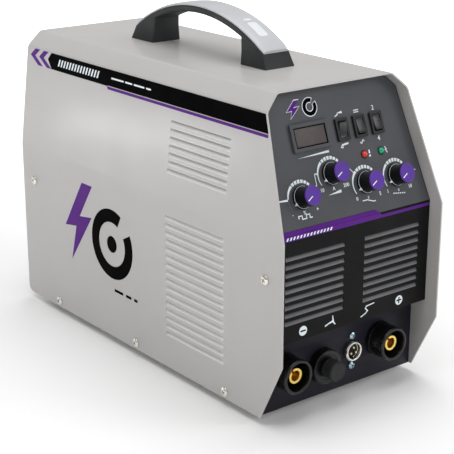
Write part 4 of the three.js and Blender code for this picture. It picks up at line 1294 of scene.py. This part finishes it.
def control_socket():
    place = seat("control_socket_shell", FRONT_FACE)
    shell = [(7.2, -14), (8.6, -14), (8.6, 0.3, 0), (10.4, 0.3, 0.2), (10.4, 3.6, 0.9), (9.4, 5, 0.6),
             (7.9, 4.6, 0.6), (7.6, 1, 0.2), (7.2, 1, 0.1)]
    piece("control_shell", turned(shell, 72, 0.2), place, "chrome", "chrome", "control_socket_shell")
    insert = turned([(0, -13), (6.9, -13), (6.9, 0.5, 0.3), (0, 0.5)], 48, 0.2)
    key = plate([box_outline(2.2, 1.4, 0, -7.4)], 0.2, 3.4, 0.1)
    piece("control_insert", joined(insert, key), place, "insert", "pin_plating", "control_socket_pins")
    pins = []
    for i in range(3):
        a = math.pi / 2 + 2 * math.pi * i / 3
        px, py = 3.6 * math.cos(a), 3.6 * math.sin(a)
        pins.append(rod(1.2, 0.4, 4, px, py, 20, 0.5))
    piece("control_pins", joined(*pins), place, "pin", "pin_plating")
    for k in ("upper", "lower"):
        spot = seat(f"control_socket_screw_{k}", FRONT_FACE)
        screw = joined(pan_screw(4, 2.9), rod(1.6, -6, 0.2))
        piece(f"socket_screw_{k}", spun(screw, 30 if k == "upper" else 75), spot, "blue_zinc",
              "zinc_steel", f"control_socket_screw_{k}")


socket_panel()
for k in OUTPUTS:
    output_socket(k)
torch_connector()
control_socket()


# ---- handle ----
HANDLE_Y = (span("handle")[0].y + span("handle")[1].y) / 2
HANDLE_HALF = 112
ARCH_RADIUS = 189            # of the strip's outer face
ARCH_Z = span("handle_strip")[1].z - ARCH_RADIUS
STRIP = 3                    # thickness of the light strip
GRIP = 6.5                   # thickness of the grip under it
FOOT = 39.5                  # length of each foot along the machine
END = 6.5                    # how much shorter the handle is at the strip than at its feet


def on_arch(radius, y):
    return ARCH_Z + math.sqrt(radius ** 2 - y ** 2)


def handle_half(z):
    """The handle widens towards its feet."""
    up = z - TOP
    return 16 + 2.3 * max(0.0, min(1.0, 1 - up / 17)) ** 1.1


def handle_stations():
    """Pairs of outer and inner points, (along the machine, height), from the rear foot to the front one."""
    low = TOP + 0.1
    top_r, under_r = ARCH_RADIUS - STRIP, ARCH_RADIUS - STRIP - GRIP
    corner = (HANDLE_HALF - END, on_arch(top_r, HANDLE_HALF - END))
    knee_y = HANDLE_HALF - FOOT - 2
    knee = (knee_y, on_arch(under_r, knee_y))
    over = knee_y * top_r / under_r
    stations = [((mix(HANDLE_HALF, corner[0], t), mix(low, corner[1], t)),
                 (mix(HANDLE_HALF - FOOT, knee[0], t), mix(low, knee[1], t))) for t in (0, 0.03, 0.5, 0.9, 1)]
    heel = [mix(corner[0], over, t) for t in (0.25, 0.5, 0.75, 1)]
    stations += [((y, on_arch(top_r, y)), knee) for y in heel]
    stations += [((over * t, on_arch(top_r, over * t)), (knee_y * t, on_arch(under_r, knee_y * t)))
                 for t in [1 - i / 20 for i in range(1, 21)]]
    return stations + [((-o[0], o[1]), (-i[0], i[1])) for o, i in reversed(stations[:-1])]


def handle():
    rings = []
    for outer, inner in handle_stations():
        outer, inner = Vector(outer), Vector(inner)
        rise = outer - inner
        depth = rise.length
        rise = rise / depth
        top_half, under_half = handle_half(outer.y), handle_half(inner.y)
        edge, round_under = 0.8, min(3.0, depth * 0.4)
        section = []
        for a in (0, 30, 60, 90):
            c, s = math.cos(math.radians(a)), math.sin(math.radians(a))
            section.append((top_half - edge + edge * c, depth - edge + edge * s))
        left = [(-x, d) for x, d in reversed(section)]
        under = []
        for a in (180, 210, 240, 270):
            c, s = math.cos(math.radians(a)), math.sin(math.radians(a))
            under.append((-under_half + round_under + round_under * c, round_under + round_under * s))
        right_under = [(-x, d) for x, d in reversed(under)]
        ring = []
        for x, d in section + left + under + right_under:
            at = inner + rise * d
            ring.append((x, HANDLE_Y + at.x, at.y))
        rings.append(ring)
    piece("handle_grip", lofted(rings), LEVEL, "handle", "handle_plastic", "handle", sharp=30)


def handle_strip():
    reach = HANDLE_HALF - END
    half, crown = 15.6, 0.7
    rings = []
    steps = 44
    for i in range(steps + 1):
        y = mix(-reach, reach, i / steps)
        inset = 0.6 if i in (0, steps) else 0
        drop = 0.5 if i in (0, steps) else 0
        ring = []
        for k in range(13):
            t = -1 + 2 * k / 12
            x = t * (half - inset)
            z = on_arch(ARCH_RADIUS - drop - crown * abs(t) ** 2.6, y)
            if k in (0, 12):
                z -= 0.7
            ring.append((x, HANDLE_Y + y, z))
        for x in (half - inset, inset - half):
            ring.append((x, HANDLE_Y + y, on_arch(ARCH_RADIUS - STRIP + 0.3, y)))
        rings.append(ring)
    piece("handle_inlay", lofted(rings), LEVEL, "strip", "strip_plastic", "handle_strip", sharp=40)
    # a plain lozenge let into the strip near its front end
    outlines = [softened([(-5.4, -88), (5.4, -88), (6.6, -66), (-4.2, -66)], 2.2)]
    outlines.append(softened([(-3.4, -62), (5.2, -62), (5.6, -58.6), (-3, -58.6)], 1))
    mark = plate(outlines, 0, 0.12)
    bmesh.ops.subdivide_edges(mark, edges=mark.edges, cuts=3, use_grid_fill=True)
    for v in mark.verts:
        lift = v.co.z
        x, y = v.co.x, v.co.y
        v.co = (x, HANDLE_Y + y, on_arch(ARCH_RADIUS - crown * (abs(x) / half) ** 2.6, y) + lift - 0.02)
    piece("handle_mark", mark, LEVEL, "mark", "strip_plastic")


handle()
handle_strip()


# ---- feet ----
def foot(node):
    place, size = standing(node)
    high = size.z
    profile = [(0, 2.6), (4.2, 2.6, 0.2), (4.6, 0, 0.3), (10.8, 0, 0.8), (11.2, 1.2, 0.6),
               (12.5, high - 0.6, 0.4), (12.2, high, 0.2), (0, high)]
    piece(f"rubber_{node}", turned(profile, 64, 0.3), place, "rubber", "foot_rubber", node)


for end in ("front", "rear"):
    for side in ("left", "right"):
        foot(f"foot_{end}_{side}")


# ---- rear ----
MAINS_SCALE = 1.6            # the mains switch against a panel switch
FAN = {"size": 119, "deep": 38, "bore": 56.5, "hub": 20, "blades": 7, "holes": 52.3}
GUARD_RINGS = (20, 30, 40, 49.5, 59)
GUARD_WIRE = 1.1
GUARD_LEG = 74
CORNERS = (45, 135, 225, 315)
NUT = (0.3, 6.3)             # a nut's lower and upper face over the panel


def nut(radius, edge, bore=()):
    return plate([circle(radius, steps=6), *bore], *NUT, edge, 3)


def rear_sheet():
    lo, hi = span("rear_panel")
    right = [(half_width(z, CLEAR), z) for z in (lo.z, CREASE, SHOULDER, hi.z)]
    outline = right + [(-x, z) for x, z in reversed(right)]
    bores = (("fan_frame", 57, 96), ("supply_gland", 8.4, 40), ("gas_inlet", 6.4, 40),
             ("earth_stud", 4.4, 32))
    holes = [circle(radius, *middle_of(node, REAR_FACE), steps) for node, radius, steps in bores]
    mains_cut = [MAINS_SCALE * size for size in SWITCH_CUT]
    holes.append(box_outline(*mains_cut, *middle_of("mains_switch_body", REAR_FACE)))
    piece("rear_sheet", plate([outline] + holes, -SHEET, 0, 0.15), REAR_FACE, "dark_paint",
          "chassis_paint", "rear_panel")

def mains_switch():
    across, z = middle_of("mains_switch_body", REAR_FACE)
    place = plane((-across, REAR_Y, z), (1, 0, 0), (0, 0, -1))
    piece("mains_frame", switch_frame(MAINS_SCALE), place, "switch", "switch_plastic", "mains_switch_body")
    piece("mains_paddle", rocker(MAINS_SCALE, ROCK), place, "red_plastic", "mains_rocker_plastic",
          "mains_switch_rocker", "mains_rocker_body")
    signs = plate([box_outline(0.9, 3.6, 0, 5.2), circle(2, 0, -5.2), circle(1.3, 0, -5.2)], 3.1, 3.5)
    piece("mains_signs", shifted(spun(signs, ROCK, "X"), z=PIVOT * MAINS_SCALE), place, "print_white",
          "mains_rocker_plastic", body="mains_rocker_body")


def supply_gland():
    place = seat("supply_gland", REAR_FACE)
    bore = 5.3
    barrel = turned([(bore, -12), (8, -12), (8, 0.4), (bore, 0.4)], 48)
    profile = [(bore, 6.2), (10, 6.2), (10.5, 6.8, 0.3), (11, 16, 1.5), (8.6, 21, 1), (6.8, 21, 0.4),
               (6.6, 12.2, 0.2), (bore, 12.2)]
    dome = turned(profile, 96, 0.3, flutes=24, flute_depth=0.35, flute_span=(7, 15.6))
    shape = joined(barrel, nut(13, 0.5, [circle(bore)]), dome)
    piece("gland_body", shape, place, "black_plastic", "gland_plastic", "supply_gland")
    seal = turned([(bore, 12.4), (6.5, 12.4), (6.5, 19.6), (bore, 19.6)], 48, 0.4)
    piece("gland_seal", seal, place, "rubber", "gland_plastic")


def gas_inlet():
    barbs = [(4.8, 8.5, 0.2), (3.9, 12, 0.2), (4.8, 13.5, 0.2), (3.9, 17, 0.2), (4.8, 18.5, 0.2)]
    tail = turned([(1.8, -26), (3, -26), (3, -10), (6, -10), (6, 5, 0.6), (4.4, 7, 0.5), *barbs,
                   (3.6, 24, 0.4), (1.8, 24)], 48, 0.3)
    piece("gas_tail", joined(tail, nut(9.5, 0.45, [circle(5.8)])), seat("gas_inlet", REAR_FACE), "brass",
          "brass", "gas_inlet")


def earth_stud():
    thread = [(4 if i % 2 else 3.5, -13.4 + 0.6 * i) for i in range(52)]
    stud = turned([(0, -14), (3.4, -14)] + thread + [(3.3, 18), (0, 18)], 32)
    piece("earth_bolt", joined(stud, nut(7.5, 0.45)), seat("earth_stud", REAR_FACE), "zinc",
          "zinc_steel", "earth_stud")


def fan_plane():
    x, z = middle_of("fan_frame", REAR_FACE)
    return plane((-x, span("fan_frame")[1].y, z), (-1, 0, 0), (0, 0, 1))


def fan_frame():
    size, deep, bore, hub, at = (FAN[k] for k in ("size", "deep", "bore", "hub", "holes"))
    face = [softened(box_outline(size, size), 6), circle(bore, steps=96)]
    face += [circle(2.2, x, y, 20) for x in (-at, at) for y in (-at, at)]
    flanges = [plate(face, low, low + 5, 0.4) for low in (-deep, -5)]
    duct = turned([(bore, -deep + 0.5), (bore + 2.4, -deep + 0.5), (bore + 2.4, -0.5), (bore, -0.5)], 96)
    middle = rod(hub, -deep, -deep + 5, sides=64, edge=0.8)
    arm = plate([box_outline(bore - hub + 2, 5, (bore + hub) / 2, 0)], -deep, -deep + 4, 0.5)
    arms = [spun(arm.copy(), a) for a in CORNERS]
    arm.free()
    piece("fan_case", joined(*flanges, duct, middle, *arms), fan_plane(), "black_plastic",
          "fan_plastic", "fan_frame")


def fan_blade():
    """A cambered blade along X, wider and flatter towards its tip."""
    rings = []
    for k in range(9):
        t = k / 8
        r, chord, thick = mix(18.5, 52.5, t), mix(15, 23, t), mix(2, 1.1, t)
        pitch, sweep = math.radians(mix(46, 31, t)), math.radians(mix(-4, 7, t))
        rim = []
        for side in (1, -1):
            for i in range(9):
                u = side * (i / 8 - 0.5)
                lift = 1.8 * (1 - (2 * u) ** 2)
                rim.append((u * chord, lift + side * thick / 2 * (1 - (2 * u) ** 4) ** 0.5))
        ring = []
        for u, w in dict.fromkeys(rim):
            y, z = u * math.cos(pitch) - w * math.sin(pitch), u * math.sin(pitch) + w * math.cos(pitch)
            ring.append((r * math.cos(sweep) - y * math.sin(sweep), r * math.sin(sweep) + y * math.cos(sweep),
                         z - 18))
        rings.append(ring)
    return lofted(rings)


def fan_rotor():
    hub = turned([(0, -31), (19.5, -31, 0.5), (19.5, -8.6, 1.6), (17.4, -7, 0.8), (8, -7, 0.3),
                  (7.6, -7.6, 0.3), (0, -7.6)], 72, 0.3)
    blades = [spun(fan_blade(), 360 * i / FAN["blades"]) for i in range(FAN["blades"])]
    piece("fan_impeller", joined(hub, *blades), fan_plane(), "black_plastic", "fan_plastic", "fan_rotor",
          "fan_rotor_body")


def fan_guard():
    rings = [wire([(x, y, 6.1) for x, y in circle(r, steps=72)], GUARD_WIRE, loop=True) for r in GUARD_RINGS]
    spokes = [spun(wire([(17, 0, 4.4), (GUARD_LEG - 3, 0, 4.4)], 1.2), a) for a in CORNERS]
    leg = joined(rod(4, 0.3, 3.3, GUARD_LEG, 0, 32, 0.2), shifted(pan_screw(3.9, 2.4), GUARD_LEG, 0, 3.3))
    legs = [spun(leg.copy(), a) for a in CORNERS]
    leg.free()
    piece("fan_grille", joined(*rings, *spokes, *legs), seat("fan_frame", REAR_FACE), "zinc",
          "zinc_steel", "fan_guard")


rear_sheet()
mains_switch()
supply_gland()
gas_inlet()
earth_stud()
fan_frame()
fan_rotor()
fan_guard()


# ---- inside ----
CAN = {"radius": 17, "at": 20}


def capacitors():
    place, size = standing("capacitor_bank")
    spots = [(x, y) for x in (-CAN["at"], CAN["at"]) for y in (-CAN["at"], CAN["at"])]
    base = plate([box_outline(size.x, size.y)], 0, 1.5, 0.1)
    piece("capacitor_base", base, place, "board", "capacitor_sleeve", "capacitor_bank")
    r, top = CAN["radius"], size.z
    profile = [(0, 1.5), (r, 1.5, 1.2), (r, 4, 0.6), (r - 0.6, 4.9, 0.5), (r, 5.8, 0.6), (r, top, 1.2),
               (r - 2.6, top, 0.2), (r - 2.8, top - 0.6, 0.2), (0, top - 0.6)]
    cans = [shifted(turned(profile, 64, 0.3), x, y) for x, y in spots]
    piece("capacitor_cans", joined(*cans), place, "sleeve", "capacitor_sleeve")
    lids = [rod(r - 2.9, top - 0.7, top - 0.3, x, y, 48) for x, y in spots]
    piece("capacitor_lids", joined(*lids), place, "aluminium", "capacitor_sleeve")


def choke():
    """A ring core with round wire wound through it."""
    place = standing("output_choke")[0]
    core = turned([(18, 3), (31, 3), (31, 31), (18, 31)], 72, 2)
    piece("choke_core", core, place, "ferrite", "winding_copper", "output_choke")
    gauge, turns = 1.4, 28
    loop = softened([(16.5, gauge), (32.5, gauge), (32.5, 34 - gauge), (16.5, 34 - gauge)], 3)
    winding = wire([(x, 0, z) for x, z in loop], gauge, loop=True)
    coils = [spun(winding.copy(), 360 * i / turns) for i in range(turns)]
    winding.free()
    piece("choke_winding", joined(*coils), place, "copper", "winding_copper")


def dressed(node, finish, edge=0.25):
    """A CAD node kept as it is, with a finish and softened edges."""
    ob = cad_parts[node]
    ob.data.materials.clear()
    ob.data.materials.append(M[finish])
    ob.data.polygons.foreach_set("use_smooth", [True] * len(ob.data.polygons))
    ob.data.set_sharp_from_angle(angle=math.radians(32))
    bevelled(ob, edge)


capacitors()
choke()
dressed("base_tray", "cover")
dressed("heatsink", "aluminium")
dressed("main_transformer", "ferrite", 0.8)
dressed("chassis_shelf", "galvanised", 0.15)
dressed("power_board", "board")
dressed("control_board", "board")
dressed("gas_valve", "brass", 0.5)
dressed("gas_hose", "hose", 0.1)
for k in KNOBS:
    dressed(f"potentiometer_{k}", "zinc")
